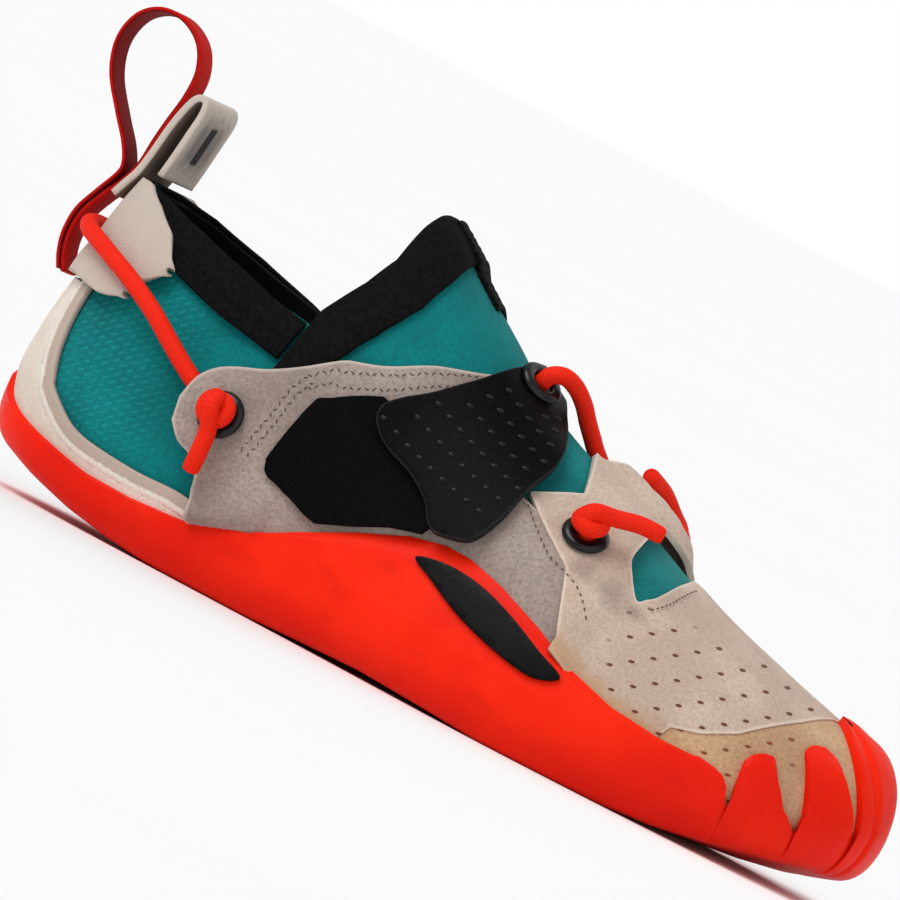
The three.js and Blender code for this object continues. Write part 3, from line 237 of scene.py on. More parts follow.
outer_edge = sections[:, [0, 1, 4]] * [LENGTH, BALL, ANKLE]
inner_edge = sections[:, [2, 3, 4]] * [LENGTH, BALL, ANKLE]
edge_line = np.vstack([outer_edge, inner_edge[TIP - 1:0:-1]])
crest_line = sections[:, [6, 7, 9]] * [LENGTH, BALL, ANKLE]
crest_half = sections[:, [8]] * [[0, BALL, 0]]
ankle_line = np.vstack([(crest_line + crest_half)[CLOSING:0:-1], (crest_line - crest_half)[:CLOSING + 1]])
ridge_line = np.vstack([crest_line[CLOSING:], crest_line[TIP - 1:CLOSING - 1:-1]])
tuck, rise, lean, crown, drop = (sections[:, [column]] for column in (5, 10, 11, 12, 13))


def underfoot(x):
    """The underside's height along the sole."""
    return ANKLE * np.interp(x / LENGTH, underside[:, 0], underside[:, 1])


def row_of(place):
    return np.minimum(place, ROUND - place)


def feather(place, tuck_in=None):
    """The line where the upper turns in under the foot."""
    if tuck_in is None:
        tuck_in = smooth(tuck, row_of(place), held=True)[..., 0] * BALL
    along = smooth(edge_line, place + 0.003, closed=True) - smooth(edge_line, place - 0.003, closed=True)
    inward = np.stack([-along[..., 1], along[..., 0], 0 * along[..., 0]], -1)
    inward /= np.linalg.norm(inward, axis=-1, keepdims=True)
    point = smooth(edge_line, place, closed=True) + inward * np.asarray(tuck_in)[..., None]
    point[..., 2] = underfoot(point[..., 0]) + 4.5
    return point


def on_last(place, level):
    """A point of the last. place runs round it from the heel, outer side first. level goes from -1 at the
    feather edge over 0 at the widest line to 1 at the top."""
    place, level = np.broadcast_arrays(np.mod(np.asarray(place, float), ROUND), np.asarray(level, float))
    row = row_of(place)
    edge, foot = smooth(edge_line, place, closed=True), feather(place)
    ridge = smooth(ridge_line, np.clip(row - CLOSING, 0, None))
    ankle = smooth(ankle_line, np.clip(np.where(place <= TIP, CLOSING + row, CLOSING - row), 0,
                                       2 * CLOSING))
    crest = np.where((row >= CLOSING)[..., None], ridge, ankle)
    tall = (crest - edge)[..., 2]
    across = (crest - edge) * [1, 1, 0]
    side = edge + across * smooth(lean, row, held=True)
    side[..., 2] += smooth(rise, row, held=True)[..., 0] * tall
    shoulder = crest - across * smooth(crown, row, held=True)
    shoulder[..., 2] -= smooth(drop, row, held=True)[..., 0] * tall
    t = np.clip(level, 0, 1)[..., None]
    wall = (1 - t) ** 3 * edge + 3 * (1 - t) ** 2 * t * side + 3 * (1 -
            t) * t * t * shoulder + t ** 3 * crest
    corner = (1 + np.clip(level, -1, 0)) * math.pi / 2
    low = foot + (edge - foot) * np.sin(corner)[..., None]
    low[..., 2] = foot[..., 2] + (edge - foot)[..., 2] * (1 - np.cos(corner))
    return np.where((level >= 0)[..., None], wall, low)


def normal_at(place, level):
    place, level = np.broadcast_arrays(np.mod(np.asarray(place, float), ROUND), np.asarray(level, float))

    def one(where):
        below_top = np.minimum(level, 0.985)
        ahead = on_last(where + 0.02, below_top) - on_last(where - 0.02, below_top)
        above = on_last(where, np.minimum(level + 0.02, 1)) - on_last(where, np.maximum(level - 0.02, -1))
        way = np.cross(ahead, above)
        return way / np.linalg.norm(way, axis=-1, keepdims=True)
    way, mirrored = one(place), one(ROUND - place)
    both = way + mirrored
    both /= np.maximum(np.linalg.norm(both, axis=-1, keepdims=True), 1e-9)
    near_top = np.clip((level - 0.94) / 0.06, 0, 1) * (row_of(place) >= CLOSING)
    mixed = way + (both - way) * near_top[..., None]
    return mixed / np.linalg.norm(mixed, axis=-1, keepdims=True)


def skin(place, level, offset=0.0):
    """A point over the last, offset mm out from it."""
    return on_last(place, level) + normal_at(place, level) * np.asarray(offset)[..., None]


def level_at(place, height):
    """The level at which a section reaches a height."""
    place, height = np.broadcast_arrays(np.asarray(place, float), np.asarray(height, float))
    low, high = np.full(place.shape, -1.0), np.ones(place.shape)
    for _ in range(20):
        middle = (low + high) / 2
        below = on_last(place, middle)[..., 2] < height
        low, high = np.where(below, middle, low), np.where(below, high, middle)
    return (low + high) / 2


def ease(value, low, high):
    share = np.clip((value - low) / (high - low), 0, 1)
    return share * share * (3 - 2 * share)


def woven(across, along, at, without=None, merge=1e-5):
    """A surface from a grid: at(u, v) gives the places in mm for shares u and v, its UV map too."""
    bm = bmesh.new()
    bmesh.ops.create_grid(bm, x_segments=across, y_segments=along, size=0.5)
    if without:
        middles = np.array([face.calc_center_median() for face in bm.faces]) + 0.5
        gone = [face for face, out in zip(list(bm.faces), without(middles[:, 0], middles[:, 1])) if out]
        bmesh.ops.delete(bm, geom=gone, context="FACES")
    uv = bm.loops.layers.uv.new("UVMap")
    for face in bm.faces:
        for loop in face.loops:
            loop[uv].uv = (loop.vert.co.x + 0.5, loop.vert.co.y + 0.5)
    shares = np.array([vert.co for vert in bm.verts]) + 0.5
    for vert, spot in zip(bm.verts, metres(at(shares[:, 0], shares[:, 1]))):
        vert.co = spot
    bmesh.ops.remove_doubles(bm, verts=bm.verts, dist=merge)
    return bm


def add_piece(name, bm, finish, nodes=()):
    """The finished mesh as a piece of the shoe."""
    data = bpy.data.meshes.new(name)
    for face in bm.faces:
        face.smooth = True
    bm.to_mesh(data)
    bm.free()
    made = bpy.data.objects.new(name, data)
    scene.collection.objects.link(made)
    data.materials.append(finish)
    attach(made, "root")
    if nodes:
        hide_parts(*nodes)
    return made


def route_line(points, spacing=0.5):
    """Even points along a smooth line through the given ones, in mm."""
    fine = smooth(points, np.linspace(0, len(points) - 1, 60 * len(points)))
    run = np.concatenate([[0], np.cumsum(np.linalg.norm(np.diff(fine, axis=0), axis=1))])
    even = np.linspace(0, run[-1], max(int(run[-1] / spacing), 8) + 1)
    return np.stack([np.interp(even, run, fine[:, axis]) for axis in range(3)], -1), run[-1]


def tube(points, size, sides=20):
    """A round cord along a route, with square-cut ends. Gives the mesh, its middle line and its length in
    mm."""
    line, long = route_line(points)
    ways = np.gradient(line, axis=0)
    ways /= np.linalg.norm(ways, axis=1, keepdims=True)
    side = np.cross(ways[0], [0.3, 0.2, 0.9])
    sides_along = []
    for way in ways:
        side = side - way * side.dot(way)
        side /= np.linalg.norm(side)
        sides_along.append(side)
    sides_along = np.array(sides_along)
    others = np.cross(ways, sides_along)
    last = len(line) - 1

    def at(u, v):
        index = np.clip(np.round(u * last).astype(int), 0, last)
        angle = -2 * math.pi * v
        end = np.minimum(index, last - index) * long / last
        radius = size / 2 * (1 - 0.14 * np.exp(-end / 0.35))
        ring = np.cos(angle)[:, None] * sides_along[index] + np.sin(angle)[:, None] * others[index]
        return line[index] + ring * radius[:, None]
    bm = woven(last, sides, at)
    bmesh.ops.holes_fill(bm, edges=[edge for edge in bm.edges if edge.is_boundary], sides=sides)
    return bm, metres(line), long / 1000


def braid_finish():
    """Woven sheath: two sets of fine strands that cross round the cord, painted darker as shade in the dips
    between them.
    """
    made, tree, shader = material("braided_cord", 0.7, Specular_IOR_Level=0.15)
    spots = node(tree, "SeparateXYZ", node(tree, "UVMap", uv_map="Braid").outputs[0])
    first = maths(tree, "ADD", spots.outputs[0], spots.outputs[1])
    second = maths(tree, "SUBTRACT", spots.outputs[0], spots.outputs[1])
    waves = [maths(tree, "SINE", maths(tree, "MULTIPLY", value, 2 * math.pi)) for value in (first, second)]
    strands = maths(tree, "MULTIPLY", waves[0], waves[1])
    fuzz = node(tree, "TexNoise", node(tree, "TexCoord").outputs["Object"], None, 1400.0, 3.0)
    # Painted shade: the cord's colour is darker where the strands dip between their crossings.
    light = spread(tree, strands, -0.9, 0.5)
    colour = blend(tree, light, tone(218, 24, 6), tone(248, 44, 12))
    colour = blend(tree, spread(tree, fuzz.outputs[0], 0.3, 0.7), colour, tone(236, 34, 8))
    tree.links.new(colour, shader.inputs["Base Color"])
    height = maths(tree, "ADD", strands, maths(tree, "MULTIPLY", fuzz.outputs[0], 0.9))
    relief(tree, shader, height, 0.4, 0.0001)
    return made


cord_finish = braid_finish()
CORD = 3.6


def add_cord(name, points, nodes):
    bm, line, long = tube(points, CORD)
    made = add_piece(name, bm, cord_finish, nodes)
    layer = made.data.uv_layers[0]
    layer.name = "Braid"
    spots = np.empty(len(layer.data) * 2)
    layer.data.foreach_get("uv", spots)
    spots = spots.reshape(-1, 2) * [round(long * 1000 / 1.1), 9]
    layer.data.foreach_set("uv", spots.ravel())
    return made, line, long


add_cord("heel_cord_braid", [
    [52.8, -25.6, 32], [46.3, -25.3, 34.9], [40.4, -25.5, 37.9], [34.8, -26.1, 41.4], [29.2, -26, 44.8],
    [21.2, -24, 48.3], [14.2, -21.5, 50.7], [7.6, -17.4, 52.6], [4.2, -13.2, 53.4], [1.5, -6.8, 54.2],
    [0.7, 0, 54.5], [1.5, 6.8, 54.2], [4.2, 13.2, 53.4], [7.6, 17.4, 52.6], [14.2, 21.4, 50.7],
    [21.2, 23.8, 48.3], [29.2, 25.4, 44.8], [34.8, 25.2, 41.4], [40.2, 24.2, 37.9], [45.8, 23.5, 34.8],
    [52, 23, 32]], ["heel_cord"])
add_cord("front_cord_braid", [
    [100.1, -4.9, 65.5], [101.1, -5.8, 67.4], [102.4, -6.3, 69.3], [104.6, -5, 70.2], [106.6, -2, 69.2],
    [108.2, 1.8, 66.9], [109.4, 5.2, 64.1], [110.8, 7.7, 61.7], [112.5, 9.3, 59.4], [116, 12, 55.8],
    [120.9, 14.9, 52.2], [124.6, 17.5, 49.2], [128.8, 20.1, 46.1]], ["front_cord"])

# Layers over the last, from the inside out: heights of their inner faces in mm
OVER_TONGUE = 1.8
SUEDE = 1.3
STRAP_WALL = 1.5


def wing_offset(row, level):
    over_foot, lobe = ease(level, 0.04, 0.22), 1 - ease(row, 4, 5.9)
    return -0.2 + 2.0 * np.maximum(over_foot, lobe) + 2.9 * lobe


def bridge_offset(row, level, medial=False):
    base = -0.2 + 2.0 * (1 - ease(row, 8.3, 8.75))
    away = np.hypot((row - 7.55) / 0.9, (level - 0.68) / 0.3)
    return base + medial * 4.2 * (1 - ease(away, 0.6, 1)) * (1 - ease(row, 8.1, 8.35))


def strap_offset(row, level):
    top, side = ease(level, 0.7, 0.95), wing_offset(row, level) + 2.8
    return side + (2.9 - side) * top


eyelets = {
    "lateral_wing": (4.25, 0.2, wing_offset(4.25, 0.2) + SUEDE, 0.75),
    "medial_wing": (ROUND - 4.25, 0.2, wing_offset(4.25, 0.2) + SUEDE, 0.75),
    "lateral_bridge": (7.88, 0.565, bridge_offset(7.88, 0.565) + SUEDE, 0.4),
    "medial_bridge": (ROUND - 7.82, 0.6, bridge_offset(7.82, 0.6, True) + SUEDE, 0.75),
    "strap": (6.5, 0.87, strap_offset(6.5, 0.87) + STRAP_WALL, 0.4),
}
tails = {
    "lateral_wing": [[1, -1, -4.5], [1.2, -0.5, -9], [0.8, 0.8, -13]],
    "medial_wing": [[0.5, 1, -4], [0.7, 0.8, -8.5], [0.3, -0.2, -12.5]],
    "lateral_bridge": [[3.7, 1.7, 2.6], [7.9, 4.5, 3.6], [11.9, 7.3, 3.6]],
    "medial_bridge": [[-1, -3, 3.9], [-3, -8.4, 7.1], [-5, -15, 9.1]],
}


def eyelet_frame(name):
    """The middle of an eyelet's seat, its outward way, and two ways across it."""
    place, level, offset, gap = eyelets[name]
    out = normal_at(place, level)
    middle = skin(place, level, offset)
    aside = np.cross([0, 0, 1], out)
    aside /= np.linalg.norm(aside)
    return middle, out, aside, np.cross(out, aside)


RING_TOP = 1.3
KNOT_TURN = 2.2
for name, tail in tails.items():
    middle, out, aside, above = eyelet_frame(name)
    gap = eyelets[name][3]
    seat = gap + RING_TOP + 0.3
    knot_middle = middle + out * (seat + 2.6)
    way = np.array(tail[0]) - out * np.dot(tail[0], out)
    start = math.atan2(np.dot(way, above), np.dot(way, aside))
    points = [middle + out * (-1.3), middle + out * (seat - 0.2)]
    for step in range(9):
        angle = start + math.radians(180 + (8 - step) * 42)
        height = seat + 1.7 + 1.4 * step / 8
        points.append(middle + out * height + (aside * math.cos(angle) + above * math.sin(angle)) *
                      KNOT_TURN)
    points.append(middle + out * (seat + 5.2))
    points += [knot_middle + np.array(spot) for spot in tail]
    made, line, long = add_cord(name + "_knot_braid", points, [name + "_knot"])

# Sole
# Outsole and rand are one moulding of red rubber, wrapped round the last: low at the heel, high over the
# arch, and cut into five lobes over the toes. It is thin at its top edge and glued over the suede.
RUBBER = 2.3
rubber_edge = np.array([
    [0, 0.262, 0.262], [0.4, 0.245, 0.245], [0.8, 0.21, 0.21], [1.5, 0.182, 0.182], [2.4, 0.152, 0.152],
    [3.1, 0.128, 0.128], [3.7, 0.124, 0.124], [4.3, 0.133, 0.14], [5, 0.178, 0.19], [5.4, 0.23, 0.24],
    [5.9, 0.288, 0.295], [6.4, 0.334, 0.34], [6.8, 0.351, 0.355], [7.1, 0.35, 0.35], [7.5, 0.328, 0.325],
    [8.1, 0.282, 0.285], [8.6, 0.236, 0.25], [9.2, 0.203, 0.215], [9.8, 0.191, 0.2], [10.4, 0.193, 0.2],
    [10.62, 0.19, 0.205], [10.76, 0.176, 0.21], [10.84, 0.15, 0.21], [10.875, 0.1, 0.2],
    [10.91, 0.16, 0.235], [10.96, 0.232, 0.27], [11.02, 0.258, 0.295], [11.1, 0.27, 0.315],
    [11.2, 0.274, 0.33], [11.3, 0.272, 0.34], [11.4, 0.262, 0.35], [11.48, 0.243, 0.355],
    [11.54, 0.2, 0.359], [11.575, 0.135, 0.361], [11.61, 0.15, 0.364], [11.64, 0.25, 0.366],
    [11.67, 0.303, 0.367], [11.72, 0.327, 0.369], [11.8, 0.338, 0.372], [11.92, 0.342, 0.375],
    [12.05, 0.336, 0.379], [12.12, 0.318, 0.38], [12.17, 0.27, 0.381], [12.2, 0.19, 0.382],
    [12.225, 0.2, 0.382], [12.25, 0.3, 0.383], [12.29, 0.36, 0.384]])


def rubber_height(place):
    row = row_of(np.asarray(place, float))
    return ANKLE * np.where(np.mod(place, ROUND) <= TIP,
                            np.interp(row, rubber_edge[:, 0], rubber_edge[:, 1]),
                            np.interp(row, rubber_edge[:, 0], rubber_edge[:, 2]))


grooves = np.array([[13.28, -0.45, -0.15], [14.1, -0.35, 0.9], [17.1, -0.5, 0.2]])


def groove_at(column, level):
    """How deep the grooves under the notches and between the last toes are, from 0 to 0.5."""
    depth = np.zeros_like(level)
    for middle, foot, head in grooves:
        fade = ease(level, foot, foot + 0.25) * (1 - ease(level, head, head + 0.2))
        depth = np.maximum(depth, fade * np.exp(-((column - middle) / 0.09) ** 2))
    return 0.4 * depth


# Over the toes the columns of the rubber lean back as they rise, so that its lobes do. tops gives each
# column's level at the rubber's edge: a deep notch stands before each lobe.
tops = np.array([
    [10.28, 0.075], [10.43, 0.065], [10.57, 0.055], [10.7, 0.035], [10.77, 0], [10.84, -0.1],
    [10.92, -0.26], [10.965, -0.42], [10.98, -0.46], [10.99, -0.4], [11, -0.22], [11.035, -0.07],
    [11.06, 0.02], [11.068, 0.07], [11.075, 0.12], [11.09, 0.16], [11.16, 0.2], [11.26, 0.225],
    [11.36, 0.24], [11.5, 0.245], [11.61, 0.215], [11.7, 0.17], [11.8, 0.105], [11.88, 0.025],
    [11.94, -0.11], [11.97, -0.265], [12, -0.37], [12.02, -0.375], [12.045, -0.31], [12.15, -0.183],
    [12.29, -0.039], [12.335, 0.04], [12.35, 0.12], [12.355, 0.33], [12.37, 0.385], [12.44, 0.425],
    [12.58, 0.46], [12.78, 0.48], [12.94, 0.46], [13.06, 0.435], [13.15, 0.385], [13.2, 0.31],
    [13.24, 0.225], [13.28, 0.15], [13.3, 0.06], [13.31, -0.08], [13.34, -0.22], [13.37, -0.22],
    [13.44, -0.14], [13.51, 0], [13.55, 0.12], [13.59, 0.3], [13.62, 0.45], [13.65, 0.62], [13.68, 0.75],
    [13.72, 0.88], [13.75, 1]])
WRAPPED = 13.75
lean_places = [10.8, 11, 11.5, 12, 13.25, 14, 15, 16, 16.4]
lean_back = [0, 0.5, 0.6, 1.15, 1.29, 1.5, 0.769, 0.2, 0]


def leaning(column, level):
    return column - np.interp(column, lean_places, lean_back) * np.clip(level + 0.3, 0, None)


columns = np.linspace(WRAPPED, 16.4, 800)
ridge_rows = np.linspace(leaning(WRAPPED, 1), TIP, 50)
outer_wrap = np.interp(ridge_rows, leaning(columns, 1), columns)
inner_wrap = np.interp(ROUND - ridge_rows, leaning(columns, 1), columns)
open_half = np.unique(np.round(np.concatenate([np.arange(0, 10.6, 0.08), np.arange(10.6, WRAPPED, 0.01)]),
                               5))
inner_half = ROUND - np.interp(open_half, [0, 10.6, WRAPPED], [0, 10.6, ROUND - inner_wrap[0]])
sole_places = np.concatenate([open_half, outer_wrap, inner_wrap[-2::-1], inner_half[::-1]])
outer_tops = level_at(open_half, rubber_height(open_half))
outer_tops = np.where(open_half < tops[0, 0], outer_tops, np.interp(open_half, tops[:, 0], tops[:, 1]))
inner_tops = level_at(inner_half, rubber_height(inner_half))
inner_tops += (1 - inner_tops) * ease(ROUND - inner_half, ridge_rows[0] - 0.2, ridge_rows[0])
sole_tops = np.concatenate([outer_tops, np.ones(2 * len(ridge_rows) - 1), inner_tops[::-1]])
CORNER, SIDE_STEPS = 10, 18


def floor_line(place):
    point = feather(place, smooth(tuck, row_of(place), held=True)[..., 0] * BALL - 2.6)
    point[..., 2] = underfoot(point[..., 0])
    return point


floor_edge = floor_line(sole_places)
floor_spine = (floor_edge + floor_edge[::-1]) / 2


def column_at(u):
    return np.clip(np.round(u * (len(sole_places) - 1)).astype(int), 0, len(sole_places) - 1)


def sole_outer(u, v):
    index = column_at(u)
    column, top, edge, spine = sole_places[index], sole_tops[index], floor_edge[index], floor_spine[index]
    step = v * (8 + CORNER + SIDE_STEPS)
    flat = spine + (edge - spine) * np.clip(step / 8, 0, 1)[:, None]
    flat[:, 2] = underfoot(flat[:, 0])
    bend = np.clip((step - 8) / CORNER, 0, 1) * math.pi / 2
    low = np.minimum(top, 0)
    side = skin(leaning(column, low), low, 0.3 + RUBBER * (1 - groove_at(column, low)))
    corner = edge + (side - edge) * (np.sin(bend) ** 0.8)[:, None]
    corner[:, 2] = edge[:, 2] + (side - edge)[:, 2] * (1 - np.maximum(np.cos(bend), 0) ** 0.8)
    share = np.clip((step - 8 - CORNER) / SIDE_STEPS, 0, 1)
    level = low + (top - low) * share
    thin = 0.4 * ease(share, 0.7, 1) * (top < 1)
    wave = 0.12 * np.sin(column * 5.1) * np.sin(column * 1.7 + 6 * level) * ease(share, 0, 0.5)
    wall = skin(leaning(column, level), level, 0.3 + RUBBER * (1 - groove_at(column, level) - thin) + wave)
    return np.where((step <= 8)[:, None], flat, np.where((step <= 8 + CORNER)[:, None], corner, wall))


def sole_inner(u, v):
    index = column_at(u)
    column, top = sole_places[index], sole_tops[index]
    step = v * 16
    spine, foot = floor_spine[index] + [0, 0, 4.5], feather(column)
    flat = spine + (foot - spine) * np.clip(step / 2, 0, 1)[:, None]
    low = np.minimum(top, 0)
    level = np.where(step <= 8, -1 + (1 + low) * (step - 2) / 6, low + (top - low) * (step - 8) / 8)
    level = np.maximum(level, -1)
    return np.where((step <= 2)[:, None], flat, skin(leaning(column, level), level, 0.2))


OUTER_STEPS = 8 + CORNER + SIDE_STEPS
ALL_STEPS = OUTER_STEPS + 1 + 16


def sole_skin(u, v):
    step = np.round(v * ALL_STEPS)
    outer = sole_outer(u, np.clip(step / OUTER_STEPS, 0, 1))
    inner = sole_inner(u, np.clip((ALL_STEPS - step) / 16, 0, 1))
    return np.where((step <= OUTER_STEPS)[:, None], outer, inner)


def wrapped_rim(u, v):
    """Where both sides share the ridge, no rim stands between them."""
    column = u * (len(sole_places) - 1)
    wrapped = (column > len(open_half)) & (column < len(sole_places) - 1 - len(open_half))
    return (np.floor(v * ALL_STEPS) == OUTER_STEPS) & wrapped


def open_edges(bm):
    return [edge for edge in bm.edges if edge.is_boundary]


sole = woven(len(sole_places) - 1, ALL_STEPS, sole_skin, wrapped_rim)

rubber, tree, shader = material("red_rubber", 0.52, Specular_IOR_Level=0.11)
spots = node(tree, "TexCoord").outputs["Object"]
cloud = node(tree, "TexNoise", spots, None, 34.0, 4.0)
dust = node(tree, "TexNoise", spots, None, 900.0, 3.0)
colour = blend(tree, spread(tree, cloud.outputs[0], 0.35, 0.7), tone(230, 24, 0), tone(246, 38, 2))
rubbed = node(tree, "TexNoise", node(tree, "Mapping", spots, None, (0, 0, 0), (1, 1, 2.5)).outputs[0], None,
              60.0, 6.0, 0.65)
colour = blend(tree, spread(tree, rubbed.outputs[0], 0.5, 0.72, 0.0, 0.35), colour, tone(198, 14, 4))
colour = blend(tree, spread(tree, dust.outputs[0], 0.62, 0.8, 0.0, 0.2), colour, tone(255, 70, 34))
# Painted shade: the rubber is darkened towards the floor, most at its lowest millimetre and fading out 11
# mm up.
underside_shade = spread(tree, node(tree, "SeparateXYZ", spots).outputs[2], 0.001, 0.011, 0.4, 0.0)
colour = blend(tree, underside_shade, colour, tone(176, 10, 2))
tree.links.new(colour, shader.inputs["Base Color"])
tree.links.new(spread(tree, cloud.outputs[0], 0.3, 0.75, 0.4, 0.56), shader.inputs["Roughness"])
relief(tree, shader, dust.outputs[0], 0.22, 0.0003)
made = add_piece("rubber_sole", sole, rubber, ["sole"])
crisp = made.modifiers.new("edge", "BEVEL")
crisp.width, crisp.segments, crisp.limit_method, crisp.angle_limit = 0.0003, 2, "ANGLE", math.radians(50)

# Bootie
# The upper is one sock of teal stretch knit with a wall of 1.6 mm, open at the collar and the throat and
# closed underneath by the insole board. Small slanting dashes are knitted into its heel.
collar = np.array([[0, 0.765], [1, 0.762], [2, 0.748], [3, 0.715], [4, 0.67], [5, 0.64], [6, 0.66],
                   [6.8, 0.672]])
THROAT = 7.4


def bootie_top(place):
    row = row_of(place)
    level = level_at(place, ANKLE * np.interp(row, collar[:, 0], collar[:, 1]))
    share = np.clip((row - 6.8) / (THROAT - 6.8), 0, 1)
    return np.where(row >= THROAT, 1.0, level + (1 - level) * np.sqrt(share))


bootie_half = np.unique(np.concatenate([np.arange(0, TIP, 0.1), [THROAT, TIP]]))
bootie_places = np.concatenate([bootie_half, ROUND - bootie_half[-2::-1]])
bootie_levels = bootie_top(bootie_places)


def folds(place, level):
    """Soft troughs in the stretch cloth round the ankle and in front of the heel, in mm."""
    row = row_of(place)
    slack = ease(level, 0.2, 0.5) * (1 - ease(row, 5.5, 7))
    return slack * (0.5 * np.sin(row * 2.6 + level * 4) + 0.35 * np.sin(row * 5.3 - level * 9 + 1))


def bootie_skin(u, v):
    index = np.clip(np.round(u * (len(bootie_places) - 1)).astype(int), 0, len(bootie_places) - 1)
    place, top = bootie_places[index], bootie_levels[index]
    level = np.where(v < 0.25, -1 + v * 4, top * (v - 0.25) / 0.75)
    return skin(place, level, np.minimum(folds(place, level), 0))


tree, takes, gives = effect("stretch_knit", {"Dashes": "Float"}, {"Color": "Color", "Height": "Float"})
stretch_knit = tree
spots = node(tree, "TexCoord").outputs["Object"]
slope = node(tree, "Mapping", spots, None, (0, math.radians(38), 0), (1, 1, 1))
slanted = node(tree, "SeparateXYZ", slope.outputs[0])
across = maths(tree, "MULTIPLY", slanted.outputs[0], 1 / 0.0026)
rowwise = maths(tree, "MULTIPLY", slanted.outputs[2], 1 / 0.0014)
shifted = maths(tree, "ADD", across, maths(tree, "MULTIPLY", maths(tree, "FLOOR", rowwise), 0.5))
near_u = maths(tree, "ABSOLUTE", maths(tree, "SUBTRACT", maths(tree, "FRACT", shifted), 0.5))
near_v = maths(tree, "ABSOLUTE", maths(tree, "SUBTRACT", maths(tree, "FRACT", rowwise), 0.5))
dash = maths(tree, "MULTIPLY", spread(tree, near_u, 0.22, 0.34, 1.0, 0.0),
             spread(tree, near_v, 0.1, 0.22, 1.0, 0.0))
heel = spread(tree, node(tree, "SeparateXYZ", spots).outputs[0], -0.034, -0.016, 1.0, 0.0)
dash = maths(tree, "MULTIPLY", maths(tree, "MULTIPLY", dash, heel), takes["Dashes"])
cloud = node(tree, "TexNoise", spots, None, 45.0, 3.0)
knit = node(tree, "TexNoise", spots, None, 1500.0, 2.0)
colour = blend(tree, spread(tree, cloud.outputs[0], 0.3, 0.7), tone(0, 104, 106), tone(0, 130, 130))
colour = blend(tree, spread(tree, knit.outputs[0], 0.35, 0.7, 0.0, 0.5), colour, tone(8, 92, 96))
tree.links.new(blend(tree, maths(tree, "MULTIPLY", dash, 0.4), colour, tone(30, 152, 150)), gives["Color"])
tree.links.new(maths(tree, "ADD", knit.outputs[0], dash), gives["Height"])


def bumped(tree, shader, effect_node, strength, distance):
    """An effect's colour and height on a shader."""
    tree.links.new(effect_node.outputs["Color"], shader.inputs["Base Color"])
    relief(tree, shader, effect_node.outputs["Height"], strength, distance)


def stretch_finish(name, dashes=0.0):
    """Fine knit with a soft sheen. The dashes are a slanting woven mark of about 1.5 mm."""
    made, tree, shader = material(name, 0.85, Specular_IOR_Level=0.12, Sheen_Weight=0.06,
                                  Sheen_Roughness=0.5)
    bumped(tree, shader, node(tree, "Group", dashes, node_tree=stretch_knit), 0.45, 0.0002)
    return made


def walled(made, thickness, offset, edge=0.0, lining=None):
    """A sheet gets its even wall, rounded edges, and where it has one a lining of another cloth inside."""
    wall = made.modifiers.new("wall", "SOLIDIFY")
    wall.thickness, wall.offset = thickness / 1000, offset
    if lining:
        made.data.materials.append(lining)
        wall.material_offset = wall.material_offset_rim = 1
    if edge:
        rounded = made.modifiers.new("edge", "BEVEL")
        rounded.width, rounded.segments, rounded.profile = edge / 1000, 2, 0.5
        rounded.limit_method, rounded.angle_limit = "ANGLE", math.radians(55)


tree, takes, gives = effect("black_knit", {"Scale": "Float", "Light": "Color"},
                            {"Color": "Color", "Height": "Float"})
black_knit = tree
spots = node(tree, "TexCoord").outputs["Object"]
knit = node(tree, "TexNoise", spots, None, takes["Scale"], 3.0)
cloud = node(tree, "TexNoise", spots, None, 90.0, 3.0)
colour = blend(tree, spread(tree, knit.outputs[0], 0.35, 0.7), tone(3, 3, 4), takes["Light"])
tree.links.new(blend(tree, spread(tree, cloud.outputs[0], 0.4, 0.8, 0.0, 0.4), colour, tone(6, 7, 8)),
               gives["Color"])
tree.links.new(knit.outputs[0], gives["Height"])


def black_cloth(name, scale, light=15, gloss=0.8):
    made, tree, shader = material(name, gloss, Specular_IOR_Level=0.1)
    bumped(tree, shader, node(tree, "Group", scale, tone(light, light, light + 1), node_tree=black_knit),
           0.6, 0.00025)
    return made


heel_stretch = stretch_finish("heel_stretch", 1.0)
lining_cloth = black_cloth("black_lining", 1100.0, 10, 0.9)
made = add_piece("stretch_bootie", woven(len(bootie_places) - 1, 44, bootie_skin), heel_stretch,
                 ["upper"])
BOOTIE_WALL = 1.5
walled(made, BOOTIE_WALL, -1, 0.3, lining_cloth)

# Insole board
# A thin grey fibre board lies inside on the turned edge of the bootie. It shows only through the collar.
BOARD_WALL, BOARD_TOP = 1.9, 8.4


def board_edge(place, raised):
    middle = underfoot(on_last(place, -1)[..., 0]) + 7.4
    level = np.minimum(level_at(place, middle), -0.2)
    point = skin(place, level, -5.4)
    point[..., 2] = underfoot(point[..., 0]) + raised
    return point


def board(u, v):
    place = u * TIP
    inner, outer = board_edge(np.mod(ROUND - place, ROUND), BOARD_TOP), board_edge(place, BOARD_TOP)
    point = inner + (outer - inner) * (1 - v)[:, None]
    point[:, 2] = underfoot(point[:, 0]) + BOARD_TOP
    return point


felt, tree, shader = material("grey_felt", 0.9, Sheen_Weight=0.2)
fuzz = node(tree, "TexNoise", node(tree, "TexCoord").outputs["Object"], None, 700.0, 3.0)
tree.links.new(blend(tree, fuzz.outputs[0], tone(44, 44, 47), tone(78, 78, 80)),
               shader.inputs["Base Color"])
relief(tree, shader, fuzz.outputs[0], 0.4, 0.0003)
made = add_piece("insole_felt", woven(90, 16, board), felt, ["insole"])
walled(made, BOARD_WALL, -1)

# Tongue
# A panel of the same stretch knit arches over the instep and rises to a peak in front of the ankle. Its rim
# carries a black folded band, and a short ribbed tape at the peak.
tongue_rim = np.array([
    [0.2, 4.25], [0.38, 4.4], [0.54, 4.5], [0.62, 4.75], [0.7, 4.88], [0.85, 4.9], [0.95, 4.94], [1, 5]])
TONGUE_FRONT = 8.0


def rim_row(level):
    return np.interp(level, tongue_rim[:, 0], tongue_rim[:, 1])


